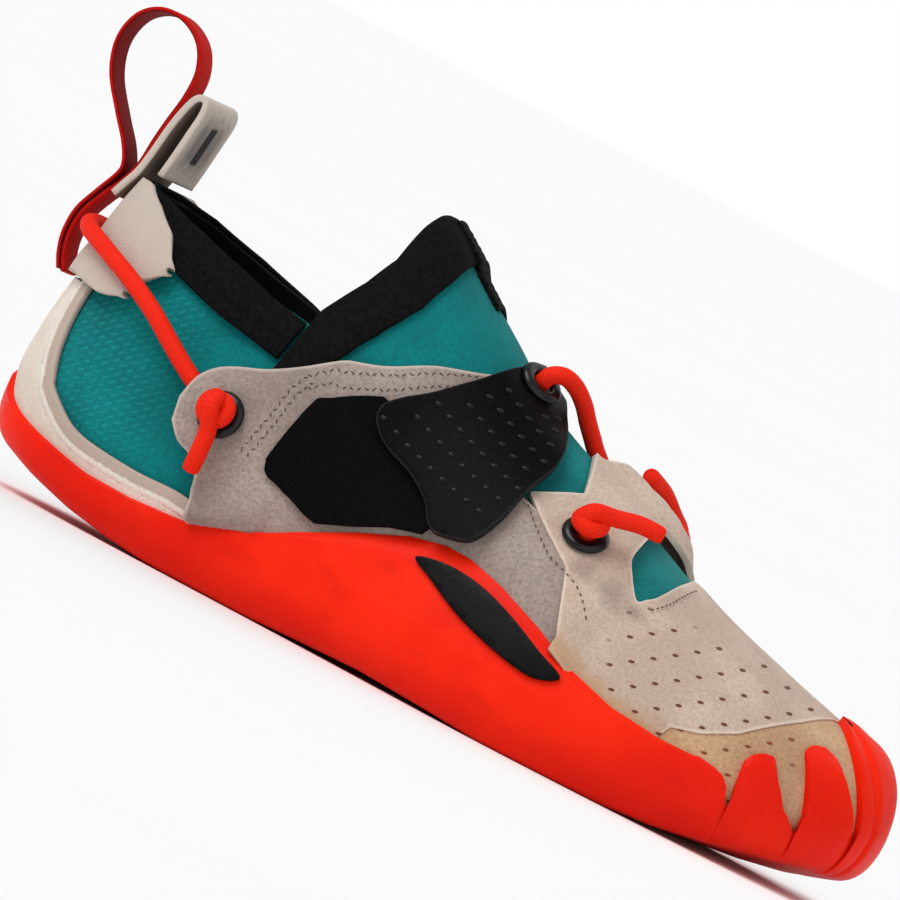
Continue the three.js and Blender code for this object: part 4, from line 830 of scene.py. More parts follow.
def arch(u, v, rear, front, low, offset):
    """A sheet over the instep. u goes from its rear to its front, v over the ridge from the outer to the
    inner foot."""
    raised = 1 - np.abs(2 * v - 1)
    outer = v <= 0.5
    guess = rear(np.full_like(u, 0.5)) * (1 - u) + front(np.full_like(u, 0.5)) * u
    foot = low(np.where(outer, guess, ROUND - guess))
    level = foot + (1 - foot) * raised
    row = rear(level) * (1 - u) + front(level) * u
    return skin(np.where(outer, row, ROUND - row), level, offset(row, level))


def tongue_foot(place):
    return level_at(place, 0.45 * ANKLE)


def tongue_skin(u, v):
    return arch(u, v, rim_row, lambda level: np.full_like(level, TONGUE_FRONT), tongue_foot,
                lambda row, level: 0.3 + 0.25 * np.sin(row * 4 + 3 * level) * ease(row, 5.4, 5.9) *
                (1 - ease(row, 6.6, 7.4)))


tongue_stretch = stretch_finish("tongue_stretch")
made = add_piece("stretch_tongue", woven(70, 90, tongue_skin), tongue_stretch, ["tongue"])
TONGUE_WALL = 1.2
walled(made, TONGUE_WALL, 1, 0.3)

# Bindings
# Black knitted band, folded over the rear collar and sewn down with a ridge along its middle, and the same
# band along the tongue's rim.
binding_cloth = black_cloth("black_binding", 1300.0)
BINDING_WALL = 1.0


def collar_band(u, v):
    turned = 2 * u - 1
    guess = np.abs(turned) * CLOSING
    top = ANKLE * np.interp(guess, collar[:, 0], collar[:, 1]) + 0.9 - 8.4 * (1 - v)
    row = np.abs(turned) * (rim_row(level_at(guess, top)) - 0.03)
    bulge = 0.45 * np.sqrt(np.maximum(1 - (2 * v - 1) ** 2, 0)) + 0.35 * np.exp(-((v - 0.5) / 0.1) ** 2)
    place = np.where(turned < 0, np.mod(ROUND - row, ROUND), row)
    return skin(place, level_at(place, top), 0.3 + bulge)


made = add_piece("collar_band", woven(150, 16, collar_band), binding_cloth, ["collar_binding"])
walled(made, BINDING_WALL, 1, 0.3)


band_front = np.array([
    [0.3, 4.68], [0.38, 4.825], [0.43, 4.96], [0.49, 5.09], [0.56, 5.2], [0.64, 5.3], [0.78, 5.36],
    [1, 5.37]])


def band_front_row(level):
    return np.interp(level, band_front[:, 0], band_front[:, 1])


def tongue_band(u, v):
    def rounded(row, level):
        share = (row - rim_row(level)) / (band_front_row(level) - rim_row(level))
        return OVER_TONGUE + 0.5 * np.sin(math.pi * np.clip(share, 0, 1))
    return arch(u, v, rim_row, band_front_row, tongue_foot, rounded)


made = add_piece("tongue_band", woven(10, 130, tongue_band), binding_cloth, ["tongue_binding"])
walled(made, BINDING_WALL, 1, 0.3)


def tape_ribs(u, v):
    low = lambda place: np.where(place <= TIP, 0.955, 0.88)
    return arch(u, v, lambda level: np.full_like(level, 5.02), lambda level: np.full_like(level, 5.74), low,
                lambda row, level: 1.6 + 1.2 * (1 - ease(row, 5.36, 5.46)) + 0.22 *
                np.sin(row * 2 * math.pi / 0.06))


tape_cloth = black_cloth("ribbed_tape", 1500.0, 22)
made = add_piece("tongue_tape_ribs", woven(90, 14, tape_ribs), tape_cloth, ["tongue_tape"])
walled(made, 0.9, 1, 0.2)

# Vamp and toe band
# Suede over the forefoot, punched with small air holes, with a bridge over the tongue and a window on each
# side of the throat. A tan strip of suede joins it to the rubber lobes.
def cut_sheet(outlines, along, up):
    """A flat pattern piece from its outline and holes, gridded finely. x is the place and y the level."""
    bm = bmesh.new()
    edges = []
    for outline in outlines:
        corners = [bm.verts.new((x, y, 0)) for x, y in outline]
        edges += [bm.edges.new((corners[index - 1], corners[index])) for index in range(len(corners))]
    bmesh.ops.triangle_fill(bm, use_beauty=True, edges=edges)
    lows, highs = np.min(outlines[0], axis=0), np.max(outlines[0], axis=0)
    for axis, gap in ((0, along), (1, up)):
        for mark in np.arange(math.floor(lows[axis] / gap) * gap + gap, highs[axis], gap):
            spot, way = [0, 0, 0], [0, 0, 0]
            spot[axis], way[axis] = mark, 1
            bmesh.ops.bisect_plane(bm, geom=bm.verts[:] + bm.edges[:] + bm.faces[:], dist=1e-5,
                                   plane_co=spot, plane_no=way)
    bmesh.ops.dissolve_degenerate(bm, dist=1e-4, edges=bm.edges)
    bmesh.ops.recalc_face_normals(bm, faces=bm.faces)
    if sum(face.normal.z for face in bm.faces) < 0:
        bmesh.ops.reverse_faces(bm, faces=bm.faces)
    return bm


def fitted(bm, offset):
    """The pattern piece goes on the last: x is the place and y the level, which passes 1 over the ridge.
    It keeps a map of its place and level, and how far each point lies from its edge, in mm."""
    spots = np.array([vert.co for vert in bm.verts])
    over = spots[:, 1] > 1
    place = np.where(over, ROUND - spots[:, 0], spots[:, 0])
    level = np.where(over, 2 - spots[:, 1], spots[:, 1])
    points = skin(np.mod(place, ROUND), level, offset(np.mod(place, ROUND), level))
    uv = bm.loops.layers.uv.new("UVMap")
    rim_layer = bm.verts.layers.float.new("rim")
    for face in bm.faces:
        for loop in face.loops:
            loop[uv].uv = (loop.vert.co.x, loop.vert.co.y)
    for vert, spot in zip(bm.verts, metres(points)):
        vert.co = spot
    border = [vert for vert in bm.verts if vert.is_boundary]
    tree = KDTree(len(border))
    for index, vert in enumerate(border):
        tree.insert(vert.co, index)
    tree.balance()
    for vert in bm.verts:
        vert[rim_layer] = tree.find(vert.co)[2] * 1000
    return bm


def rounded_outline(points, steps=6):
    points = np.array(points, float)
    return smooth(points, np.arange(0, len(points), 1 / steps), closed=True)


tree, takes, gives = effect(
    "suede_nap", {"Light": "Color", "Dark": "Color", "Edge": "Color", "Speckle": "Float"},
    {"Color": "Color", "Height": "Float"})
suede_nap = tree
spots = node(tree, "TexCoord").outputs["Object"]
fibre = node(tree, "TexNoise", spots, None, 2300.0, 3.0, 0.7)
grain = node(tree, "TexNoise", spots, None, 1300.0, 4.0, 0.75)
cloud = node(tree, "TexNoise", spots, None, 60.0, 4.0)
colour = blend(tree, spread(tree, cloud.outputs[0], 0.35, 0.68), takes["Dark"], takes["Light"])
speck = maths(tree, "MULTIPLY", spread(tree, grain.outputs[0], 0.4, 0.68), takes["Speckle"])
colour = blend(tree, speck, colour, blend(tree, 0.5, takes["Dark"], tone(0, 0, 0)))
colour = blend(tree, spread(tree, fibre.outputs[0], 0.52, 0.75, 0.0, 0.45), colour, takes["Edge"])
rim_far = node(tree, "Attribute", attribute_name="rim").outputs["Fac"]
colour = blend(tree, spread(tree, rim_far, 0.1, 0.9, 0.75, 0.0), colour, takes["Edge"])
tree.links.new(colour, gives["Color"])
tree.links.new(maths(tree, "ADD", maths(tree, "MULTIPLY", grain.outputs[0], 1.2), fibre.outputs[0]),
               gives["Height"])


def suede_finish(name, light, dark, edge, speckle=0.5, extra=None):
    """Napped split leather: short fibres, soft blotches, a pale raw edge and one piece's own marks and
    painted shade.
    """
    made, tree, shader = material(name, 0.95, Specular_IOR_Level=0.12, Sheen_Weight=0.1,
                                  Sheen_Roughness=0.6)
    nap = node(tree, "Group", light, dark, edge, speckle, node_tree=suede_nap)
    colour, height = nap.outputs["Color"], nap.outputs["Height"]
    if extra:
        colour, height = extra(tree, node(tree, "TexCoord").outputs["Object"], colour, height)
    tree.links.new(colour, shader.inputs["Base Color"])
    relief(tree, shader, height, 0.5, 0.0004)
    return made


vamp_rear = np.array([
    [-1, 8.3], [0.2, 8.3], [0.42, 7.95], [0.5, 7.5], [0.56, 7.2], [0.64, 7.4], [0.72, 7.58], [0.82, 7.48],
    [1, 7.3]])
band_seam = np.array([[-1, 9.2], [0.12, 9.7], [0.18, 10.2], [0.28, 10.6], [0.45, 10.95], [0.6, 11.25],
                      [1, 11.85]])


def vamp_row(level):
    return np.interp(level, vamp_rear[:, 0], vamp_rear[:, 1])


def band_row(level):
    return np.interp(level, band_seam[:, 0], band_seam[:, 1])


def under_rubber(place, by=1.4):
    """The level a little below the rubber's top edge, where the suede goes in under it."""
    return level_at(place, rubber_height(place) - by)


def vamp_outline():
    levels = np.linspace(-0.3, 1, 90)
    foot_rear = float(under_rubber(8.3))
    outline = []
    rows = np.linspace(8.3, 9.75, 26)
    outline += [(row, float(under_rubber(row))) for row in rows]
    start = outline[-1][1]
    seam = [level for level in levels if level > max(start, 0.13)]
    outline += [(float(band_row(level)), level) for level in seam]
    outline += [(float(band_row(level)), 2 - level) for level in seam[-2::-1]]
    rows = np.linspace(9.75, 8.3, 26)
    outline += [(row, 2 - float(under_rubber(ROUND - row))) for row in rows]
    back = [level for level in levels if level > foot_rear + 0.02]
    outline += [(float(vamp_row(level)), 2 - level) for level in back]
    outline += [(float(vamp_row(level)), level) for level in back[-2::-1]]
    return outline


window_side = [(8.69, 0.555), (8.6, 0.56), (8.45, 0.6), (8.34, 0.65), (8.28, 0.76), (8.22, 0.9), (8.2, 1)]
window_front = [(8.75, 1), (8.78, 0.9), (8.8, 0.76), (8.79, 0.65), (8.74, 0.6), (8.69, 0.555)]
window_half = [*window_side[1:], *[(x, 2 - y) for x, y in window_side[-2::-1]]]
window_rest = [*[(x, 2 - y) for x, y in window_front[-2::-1]], *window_front[1:]]
window = rounded_outline(window_half + window_rest, 4)


HOLE_STEPS = np.array([[5.95, 3.5], [-1.65, 2.3]])
FIRST_HOLE = (132, 30.7)
tree, takes, gives = effect("hole_rows", {"Punched": "Float"}, {"Hole": "Float"})
hole_rows = tree
map_place = node(tree, "SeparateXYZ", node(tree, "UVMap", uv_map="Holes").outputs[0])
first = maths(tree, "ABSOLUTE", maths(tree, "SUBTRACT", maths(tree, "FRACT", map_place.outputs[0]), 0.5))
second = maths(tree, "ABSOLUTE", maths(tree, "SUBTRACT", maths(tree, "FRACT", map_place.outputs[1]), 0.5))
side_a, side_b = maths(tree, "MULTIPLY", first, 6.2), maths(tree, "MULTIPLY", second, 4.2)
far = maths(tree, "SQRT", maths(tree, "ADD", maths(tree, "MULTIPLY", side_a, side_a),
                                maths(tree, "MULTIPLY", side_b, side_b)))
tree.links.new(maths(tree, "MULTIPLY", spread(tree, far, 0.38, 0.6, 1.0, 0.0), takes["Punched"]),
               gives["Hole"])


def punch(made, share):
    """Lays the rows of holes on a piece as a UV map. share says how far they are punched at each place."""
    data = made.data
    holes, punched = data.uv_layers.new(name="Holes"), data.attributes.new("punched", "FLOAT", "POINT")
    spots = np.array([vertex.co for vertex in data.vertices]) * 1000 + [HEEL_SEAT, 0, 0]
    side = np.where(spots[:, 1] > 9, -1, 1)
    view_x = spots[:, 0] * math.cos(turn) + spots[:, 1] * side * math.sin(turn) + 1.4
    basis = np.linalg.inv(HOLE_STEPS)
    lattice = (basis @ np.stack([view_x - FIRST_HOLE[0], spots[:, 2] - FIRST_HOLE[1]])).T + 0.5
    for loop in data.loops:
        holes.data[loop.index].uv = lattice[loop.vertex_index]
    punched.data.foreach_set("value", share(view_x, spots[:, 2]).astype(np.float32))


def hole_mask(tree):
    return node(tree, "Group", node(tree, "Attribute", attribute_name="punched").outputs["Fac"],
                node_tree=hole_rows).outputs[0]


def vamp_holes_dye_and_knot_shadow(tree, spots, colour, height):
    """Rows of punched holes, tan dye along the rubber, and the bridge knot's shadow painted grey below it.
    """
    hole = hole_mask(tree)
    ragged = node(tree, "TexNoise", spots, None, 420.0, 4.0).outputs[0]
    above = node(tree, "Attribute", attribute_name="above").outputs["Fac"]
    dyed = spread(tree, maths(tree, "ADD", above, maths(tree, "MULTIPLY", ragged, 3.0)), 1.5, 5.5, 0.75,
                  0.0)
    colour = blend(tree, dyed, colour, tone(186, 146, 106))
    # Painted shadow: the bridge's knot and tail cast it as three soft grey spots on the suede below and
    # ahead of them.
    for row, level, reach in ((8.1, 0.45, 0.004), (8.45, 0.47, 0.0045), (8.75, 0.5, 0.0035)):
        spot = tuple(metres(skin(row, level, 2.0)))
        away = node(tree, "VectorMath", spots, spot, operation="DISTANCE").outputs["Value"]
        knot_shadow_far = maths(tree, "ADD", away, maths(tree, "MULTIPLY", ragged, 0.003))
        colour = blend(tree, spread(tree, knot_shadow_far, reach * 0.6, reach * 1.5, 0.4, 0.0), colour,
                       tone(96, 84, 80))
    colour = blend(tree, hole, colour, tone(104, 62, 38))
    height = maths(tree, "SUBTRACT", height, maths(tree, "MULTIPLY", hole, 3.0))
    return colour, height


vamp_suede = suede_finish("vamp_suede", tone(212, 190, 172), tone(194, 170, 153), tone(226, 208, 192), 0.4,
                          vamp_holes_dye_and_knot_shadow)
vamp = cut_sheet([vamp_outline(), window], 0.09, 0.035)


def vamp_height(place, level):
    row = row_of(place)
    lapped = 0.35 * (1 - ease(row - vamp_row(level), 0.1, 0.45)) * (1 - ease(level, 0.5, 0.6))
    return bridge_offset(row, level, place > TIP) + lapped


vamp_flat = np.array([vert.co for vert in vamp.verts])
vamp_places = np.where(vamp_flat[:, 1] > 1, ROUND - vamp_flat[:, 0], vamp_flat[:, 0])
vamp_levels = np.where(vamp_flat[:, 1] > 1, 2 - vamp_flat[:, 1], vamp_flat[:, 1])
vamp_above = (on_last(vamp_places, vamp_levels)[:, 2] - rubber_height(vamp_places) +
              20 * (vamp_flat[:, 0] < 7.9))
vamp = fitted(vamp, vamp_height)
vamp_piece = add_piece("vamp_suede_panel", vamp, vamp_suede, ["vamp"])
punch(vamp_piece, lambda across, height: ease(across, 127, 131) * (1 - ease(height, 36.5, 38)))
data = vamp_piece.data
above_layer = data.attributes.new("above", "FLOAT", "POINT")
above_layer.data.foreach_set("value", vamp_above.astype(np.float32))
walled(vamp_piece, SUEDE, 1, 0.35)

thread, tree, shader = material("brown_thread", 0.8, Specular_IOR_Level=0.12)
twist = node(tree, "TexNoise", node(tree, "TexCoord").outputs["Object"], None, 2500.0, 2.0)
tree.links.new(blend(tree, twist.outputs[0], tone(70, 56, 50), tone(112, 92, 82)),
               shader.inputs["Base Color"])


def sewn(name, lines, finish, long=1.5, gap=0.9, turned=0.0, thick=0.34):
    """Rows of single stitches. Each line is its points as place and level, and its height over the last in
    mm. turned gives the slant of the stitches, left and right by turns, in degrees."""
    bm = bmesh.new()
    for points, height in lines:
        fine = smooth(points, np.linspace(0, len(points) - 1, 300))
        spots = skin(np.mod(fine[:, 0], ROUND), fine[:, 1], height(fine[:, 0], fine[:, 1]))
        outward = normal_at(fine[:, 0], fine[:, 1])
        run = np.concatenate([[0], np.cumsum(np.linalg.norm(np.diff(spots, axis=0), axis=1))])
        for count, mark in enumerate(np.arange(gap, run[-1] - long / 2, long + gap)):
            index = int(np.searchsorted(run, mark))
            way = spots[min(index + 1, 299)] - spots[index - 1]
            out = outward[index]
            way = way / np.linalg.norm(way)
            across = np.cross(out, way)
            slant = math.radians(turned) * (1 if count % 2 else -1)
            along = (way * math.cos(slant) + across * math.sin(slant)) * long / 2000
            side = np.cross(out, along / np.linalg.norm(along)) * thick / 2000
            rise = out * thick / 2500
            at = metres(spots[index])
            shape = Matrix([[along[k], side[k], rise[k], at[k]] for k in range(3)] + [[0, 0, 0, 1]])
            bmesh.ops.create_icosphere(bm, subdivisions=2, radius=1, matrix=shape)
    bmesh.ops.recalc_face_normals(bm, faces=bm.faces)
    return add_piece(name, bm, finish)


def on_vamp(row, level):
    return bridge_offset(row, level) + 0.4 + SUEDE


sewn("vamp_seam_stitches", [
    ([(7.1, 0.57), (7.2, 0.535), (7.35, 0.5), (7.59, 0.447), (7.77, 0.415), (7.92, 0.405), (8.2, 0.38),
      (8.5, 0.3)], on_vamp)],
    thread, 0.9, 0.8)
sewn("window_stitches", [([(8.86, 0.56), (8.93, 0.66), (8.93, 0.78), (8.9, 0.92)], on_vamp)], thread,
     0.8, 0.6)


def band_outline():
    levels = np.linspace(0.1, 1, 60)
    front = 13.4
    rows = np.linspace(9.5, front, 80)
    outline = [(row, float(level_at(row, 9.5 if row > 10.4 else rubber_height(row) - 1.4))) for row in rows]
    outline += [(front, level) for level in np.linspace(outline[-1][1] + 0.02, 2 - outline[-1][1] - 0.02,
                                                        50)]
    outline += [(row, 2 - float(level_at(ROUND - row, 9.5 if row > 10.4
                                         else rubber_height(ROUND - row) - 1.4))) for row in rows[::-1]]
    outline += [(float(band_row(level)) - 0.15, 2 - level) for level in levels]
    outline += [(float(band_row(level)) - 0.15, level) for level in levels[-2::-1]]
    return outline


def band_holes(tree, spots, colour, height):
    hole = hole_mask(tree)
    return (blend(tree, hole, colour, tone(128, 60, 20)),
            maths(tree, "SUBTRACT", height, maths(tree, "MULTIPLY", hole, 3.0)))


tan_suede = suede_finish("tan_suede", tone(212, 176, 138), tone(188, 148, 112), tone(226, 194, 160), 0.45,
                         band_holes)
band = fitted(cut_sheet([band_outline()], 0.09, 0.035),
              lambda place, level: -0.4 - 0.35 * (1 - ease(row_of(place) - band_row(level), -0.02, 0.1)))
band_piece = add_piece("toe_band_suede", band, tan_suede, ["toe_band"])
punch(band_piece, lambda across, height: ease(across, 127, 131) * (1 - ease(across, 170, 173)) * 0.9)
walled(band_piece, SUEDE, 1, 0.3)

# Heel counter
# Cream suede round the heel, open to the stretch on each side. A narrow folded edge with a sewn ridge
# frames the opening, and a thin strip of it runs forward along the rubber.
counter_side = [(1.5, 0.43), (1.62, 0.37), (1.68, 0.28), (1.74, 0.2), (1.88, 0.1), (2.1, 0.01), (2.4, -0.1),
                (2.72, -0.19), (3.1, -0.2), (3.67, -0.16), (4.1, -0.1), (4.35, -0.1)]
counter_curve = smooth(counter_side, np.linspace(0, len(counter_side) - 1, 60))


def counter_outline():
    rows = np.linspace(-4.35, 4.35, 90)
    outline = [(row, float(under_rubber(np.mod(row, ROUND)))) for row in rows]
    outline += [tuple(spot) for spot in counter_curve[::-1]]
    outline += [(row, float(level_at(abs(row), 0.5 * ANKLE))) for row in np.linspace(1.4, -1.4, 24)]
    outline += [(-x, y) for x, y in counter_curve]
    return outline


def counter_ridge(tree, spots, colour, height):
    """The folded edge along the opening is darker, and a pale ridge separates it from the heel."""
    far = node(tree, "Attribute", attribute_name="fold").outputs["Fac"]
    fold = spread(tree, far, 1.9, 2.5, 1.0, 0.0)
    colour = blend(tree, maths(tree, "MULTIPLY", fold, 0.75), colour, tone(170, 148, 132))
    ridge = maths(tree, "MULTIPLY", spread(tree, far, 2.2, 2.7), spread(tree, far, 2.9, 3.4, 1.0, 0.0))
    colour = blend(tree, maths(tree, "MULTIPLY", ridge, 0.7), colour, tone(238, 230, 220))
    return colour, height


cream_suede = suede_finish("cream_suede", tone(240, 231, 218), tone(222, 208, 192), tone(246, 240, 232),
                           0.2, counter_ridge)
counter = cut_sheet([counter_outline()], 0.035, 0.014)
flat_spots = np.array([vert.co for vert in counter.verts])
line = skin(counter_curve[:, 0], counter_curve[:, 1], 1.0)
counter_points = skin(np.mod(flat_spots[:, 0], ROUND), flat_spots[:, 1], 1.0)
mirrored = counter_points * [1, -1, 1]
fold_far = np.array([min(np.linalg.norm(line - spot, axis=1).min(),
                         np.linalg.norm(line - other, axis=1).min())
                     for spot, other in zip(counter_points, mirrored)])
fold_layer = counter.verts.layers.float.new("fold")
for vert, far in zip(counter.verts, fold_far):
    vert[fold_layer] = far


counter_height = 0.4 * np.exp(-((fold_far - 2.6) / 0.5) ** 2) + 0.35 * (1 - ease(fold_far, 1.9, 2.4))
counter = fitted(counter, lambda place, level: counter_height)
walled(add_piece("heel_counter_suede", counter, cream_suede, ["heel_counter"]), SUEDE, 1)

# Wings
# A grey-brown suede flap on each side wraps the midfoot and carries the cord's eyelet on a free round lobe.
# A double zigzag of brown thread runs along its top and behind the lobe.
wing_side = [(3.76, 0.2), (3.8, 0.27), (3.92, 0.32), (4.12, 0.345), (4.45, 0.352), (4.82, 0.38),
             (5.3, 0.455), (5.71, 0.59), (6.05, 0.7), (6.3, 0.8), (6.6, 0.83), (6.78, 0.79), (6.95, 0.66),
             (7.08, 0.56), (7.2, 0.53)]
wing_rear = [(4.36, -0.2), (4.36, -0.07), (4.3, 0.03), (4.17, 0.07), (3.98, 0.09), (3.82, 0.13)]


def wing_outline():
    top = smooth(wing_side, np.linspace(0, len(wing_side) - 1, 80))
    outline = [tuple(spot) for spot in top[::-1]]
    outline += [tuple(spot) for spot in smooth(wing_rear, np.linspace(0, len(wing_rear) - 1, 24))[::-1]]
    outline += [(row, float(under_rubber(row))) for row in np.linspace(4.4, 8.15, 46)]
    seam = [level for level in np.linspace(0, 0.52, 24) if level > outline[-1][1] + 0.02]
    outline += [(float(vamp_row(level)) + 0.22, level) for level in seam]
    return outline


def wing_height(place, level):
    """The flap is tucked in under the rubber at its foot and under the vamp at its front."""
    row = row_of(place)
    rubber_top = level_at(place, rubber_height(place))
    free = ease(level, rubber_top - 0.02, rubber_top + 0.1)
    over_foot, lobe = ease(level, 0.04, 0.22), 1 - ease(row, 4, 5.9)
    tucked = 0.45 * ease(row - vamp_row(level), -0.12, 0.02)
    return -0.2 + (2.0 * np.maximum(over_foot, lobe) + 2.9 * lobe) * free - tucked


def wing_dirt(tree, spots, colour, height):
    """Brown rubbed dirt below the knot."""
    split = node(tree, "VectorMath", spots, (-0.0165, -0.028, 0.0215),
                 operation="DISTANCE").outputs["Value"]
    ragged = node(tree, "TexNoise", spots, None, 500.0, 4.0)
    near = spread(tree, maths(tree, "ADD", split, maths(tree, "MULTIPLY", ragged.outputs[0], 0.004)),
                  0.0035, 0.0085, 1.0, 0.0)
    return blend(tree, maths(tree, "MULTIPLY", near, 0.6), colour, tone(96, 72, 62)), height


wing_suede = suede_finish("wing_suede", tone(178, 162, 152), tone(152, 136, 128), tone(206, 192, 182), 0.55,
                          wing_dirt)
for side_name, mirrored in (("lateral", False), ("medial", True)):
    outline = wing_outline()
    if mirrored:
        outline = [(ROUND - x, y) for x, y in outline]
    flap = fitted(cut_sheet([outline], 0.08, 0.03), wing_height)
    walled(add_piece(side_name + "_wing_suede", flap, wing_suede, [side_name + "_wing"]),
           SUEDE, 1, 0.35)


def on_wing(row, level):
    return wing_height(row, level) + SUEDE + 0.04


top_seam = np.array([(4.78, 0.345), (4.95, 0.372), (5.11, 0.39), (5.425, 0.463), (5.7, 0.56),
                     (5.935, 0.643), (6.1, 0.7)])
lobe_seam = np.array([(4.78, 0.345), (4.72, 0.32), (4.69, 0.298), (4.66, 0.244), (4.62, 0.2),
                      (4.585, 0.165), (4.55, 0.13)])
seams = [(line + shift, on_wing) for line, shift in (
    (top_seam, (0, 0)), (top_seam, (0.05, -0.028)), (lobe_seam, (0, 0)), (lobe_seam, (0.075, -0.01)))]
sewn("wing_stitches", seams, thread, 1.0, 0.45, 38, 0.3)

# Patch and strap
# The black loop patch is sewn to the outer wing. The strap over it is smooth black sheet with rows of small
# raised dots and a rounded end with the cord's eyelet.
patch_outline = [
    (4.815, 0.145), (4.84, 0.175), (4.93, 0.27), (4.97, 0.3), (5.09, 0.32), (5.47, 0.41), (6.02, 0.44),
    (6.62, 0.28), (6.55, 0.23), (6.19, 0.19), (5.795, 0.13), (5.49, 0.088), (5.36, 0.09), (4.91, 0.11),
    (4.85, 0.12)]
loop_cloth = black_cloth("loop_pile", 1800.0, 8, 0.95)
patch = fitted(cut_sheet([patch_outline], 0.05, 0.02),
               lambda place, level: wing_offset(place, level) + SUEDE + 0.3)
walled(add_piece("loop_patch_pile", patch, loop_cloth, ["loop_patch"]), 0.9, 1, 0.25)

strap_outline = rounded_outline([
    (5.518, 0.39), (5.56, 0.355), (5.75, 0.335), (6.107, 0.33), (6.42, 0.3), (6.64, 0.25), (6.88, 0.262),
    (7.06, 0.29), (7.146, 0.34), (7.2, 0.42), (7.215, 0.54), (7.25, 0.65), (7.2, 0.74), (7.007, 0.87),
    (6.8, 0.98), (6.62, 1.06), (6.45, 1.07), (6.33, 0.97), (6.27, 0.84), (6.11, 0.67), (5.85, 0.53),
    (5.62, 0.44)], 5)
strap_sheet, tree, shader = material("strap_sheet", 0.5, Specular_IOR_Level=0.06)
spots = node(tree, "TexCoord").outputs["Object"]
grain = node(tree, "TexNoise", spots, None, 900.0, 3.0)
far = node(tree, "Attribute", attribute_name="rim").outputs["Fac"]
colour = blend(tree, spread(tree, grain.outputs[0], 0.3, 0.7), tone(1, 1, 1), tone(6, 6, 7))
colour = blend(tree, spread(tree, far, 0.05, 0.35, 0.5, 0.0), colour, tone(52, 54, 58))
tree.links.new(colour, shader.inputs["Base Color"])
relief(tree, shader, grain.outputs[0], 0.3, 0.0002)
strap = fitted(cut_sheet([strap_outline], 0.06, 0.025),
               lambda place, level: strap_offset(row_of(place), level))
walled(add_piece("strap_cover", strap, strap_sheet, ["strap"]), STRAP_WALL, 1, 0.4)

DOT_GAP, DOT_RISE, EDGE_MARGIN, EYELET_MARGIN = 0.17, 0.068, 2.6, 8
dots = bmesh.new()
rim_spots = skin(strap_outline[:, 0], np.minimum(strap_outline[:, 1], 0.999), 4.0)
eyelet_middle = eyelet_frame("strap")[0]
for line, level in enumerate(np.arange(0.375, 0.93, DOT_RISE)):
    for row in np.arange(5.6 + DOT_GAP / 2 * (line % 2), 7.2, DOT_GAP):
        inside = sum((strap_outline[k - 1, 1] > level) != (strap_outline[k, 1] > level) and
                     row < strap_outline[k - 1, 0] + (level - strap_outline[k - 1, 1]) *
                     (strap_outline[k, 0] - strap_outline[k - 1, 0]) /
                     (strap_outline[k, 1] - strap_outline[k - 1, 1])
                     for k in range(len(strap_outline))) % 2
        spot, out = skin(row, level, strap_offset(row, level) + STRAP_WALL), normal_at(row, level)
        if not inside or np.linalg.norm(rim_spots - spot, axis=1).min() < EDGE_MARGIN:
            continue
        if np.linalg.norm(spot - eyelet_middle) < EYELET_MARGIN:
            continue
        aside = np.cross([0, 0, 1], out)
        aside /= np.linalg.norm(aside)
        above, at = np.cross(out, aside), metres(spot)
        shape = Matrix([[aside[k] * 8.5e-4, above[k] * 5.5e-4, out[k] * 3.2e-4, at[k]] for k in range(3)] +
                       [[0, 0, 0, 1]])
        bmesh.ops.create_icosphere(dots, subdivisions=2, radius=1, matrix=shape)
raised_dot, tree, shader = material("raised_dots", 0.35, Specular_IOR_Level=0.25)
mottle = node(tree, "TexNoise", node(tree, "TexCoord").outputs["Object"], None, 1500.0, 2.0)
tree.links.new(blend(tree, mottle.outputs[0], tone(4, 4, 4), tone(12, 12, 13)), shader.inputs["Base Color"])
add_piece("strap_raised_dots", dots, raised_dot)

# Eyelets
# Five turned rings of glossy black plastic, pressed round the holes that the cords come through.
plastic, tree, shader = material("black_plastic", 0.22, Specular_IOR_Level=0.3)
haze = node(tree, "TexNoise", node(tree, "TexCoord").outputs["Object"], None, 300.0, 3.0)
tree.links.new(blend(tree, haze.outputs[0], tone(8, 8, 9), tone(20, 20, 22)), shader.inputs["Base Color"])
tree.links.new(spread(tree, haze.outputs[0], 0.3, 0.7, 0.18, 0.3), shader.inputs["Roughness"])
ring_profile = [(2.3, 0.1), (2.3, 0.75), (2.5, 1.12), (2.9, 1.3), (3.7, 1.3), (4.3, 1.12), (4.7, 0.75),
                (4.9, 0.35), (4.8, 0.1), (4.5, 0)]
for name in eyelets:
    middle, out, aside, above = eyelet_frame(name)
    gap = eyelets[name][3]
    bm = bmesh.new()
    corners = [bm.verts.new((radius, 0, height)) for radius, height in ring_profile]
    edges = [bm.edges.new((corners[index - 1], corners[index])) for index in range(len(corners))]
    bmesh.ops.spin(bm, geom=corners + edges, axis=(0, 0, 1), cent=(0, 0, 0), angle=2 * math.pi, steps=48,
                   use_merge=True)
    bmesh.ops.remove_doubles(bm, verts=bm.verts, dist=1e-4)
    bmesh.ops.recalc_face_normals(bm, faces=bm.faces)
    seat = metres(middle + out * gap)
    frame_matrix = Matrix([[aside[row] / 1000, above[row] / 1000, out[row] / 1000, seat[row]]
                           for row in range(3)] + [[0, 0, 0, 1]])
    bmesh.ops.transform(bm, matrix=frame_matrix, verts=bm.verts)
    add_piece(name + "_ring", bm, plastic, [name + "_eyelet"])

# Heel tabs and pull loop
# A folded suede tab stands at the top of the heel, a second lies round the heel under the cord and a third
# below it. A loop of red webbing runs up from under the lowest one, and both of its strands lie together at
# the foot.
def strip_line(points, spacing=0.6):
    return route_line([[x, 0, z] for x, z in points], spacing)[0]


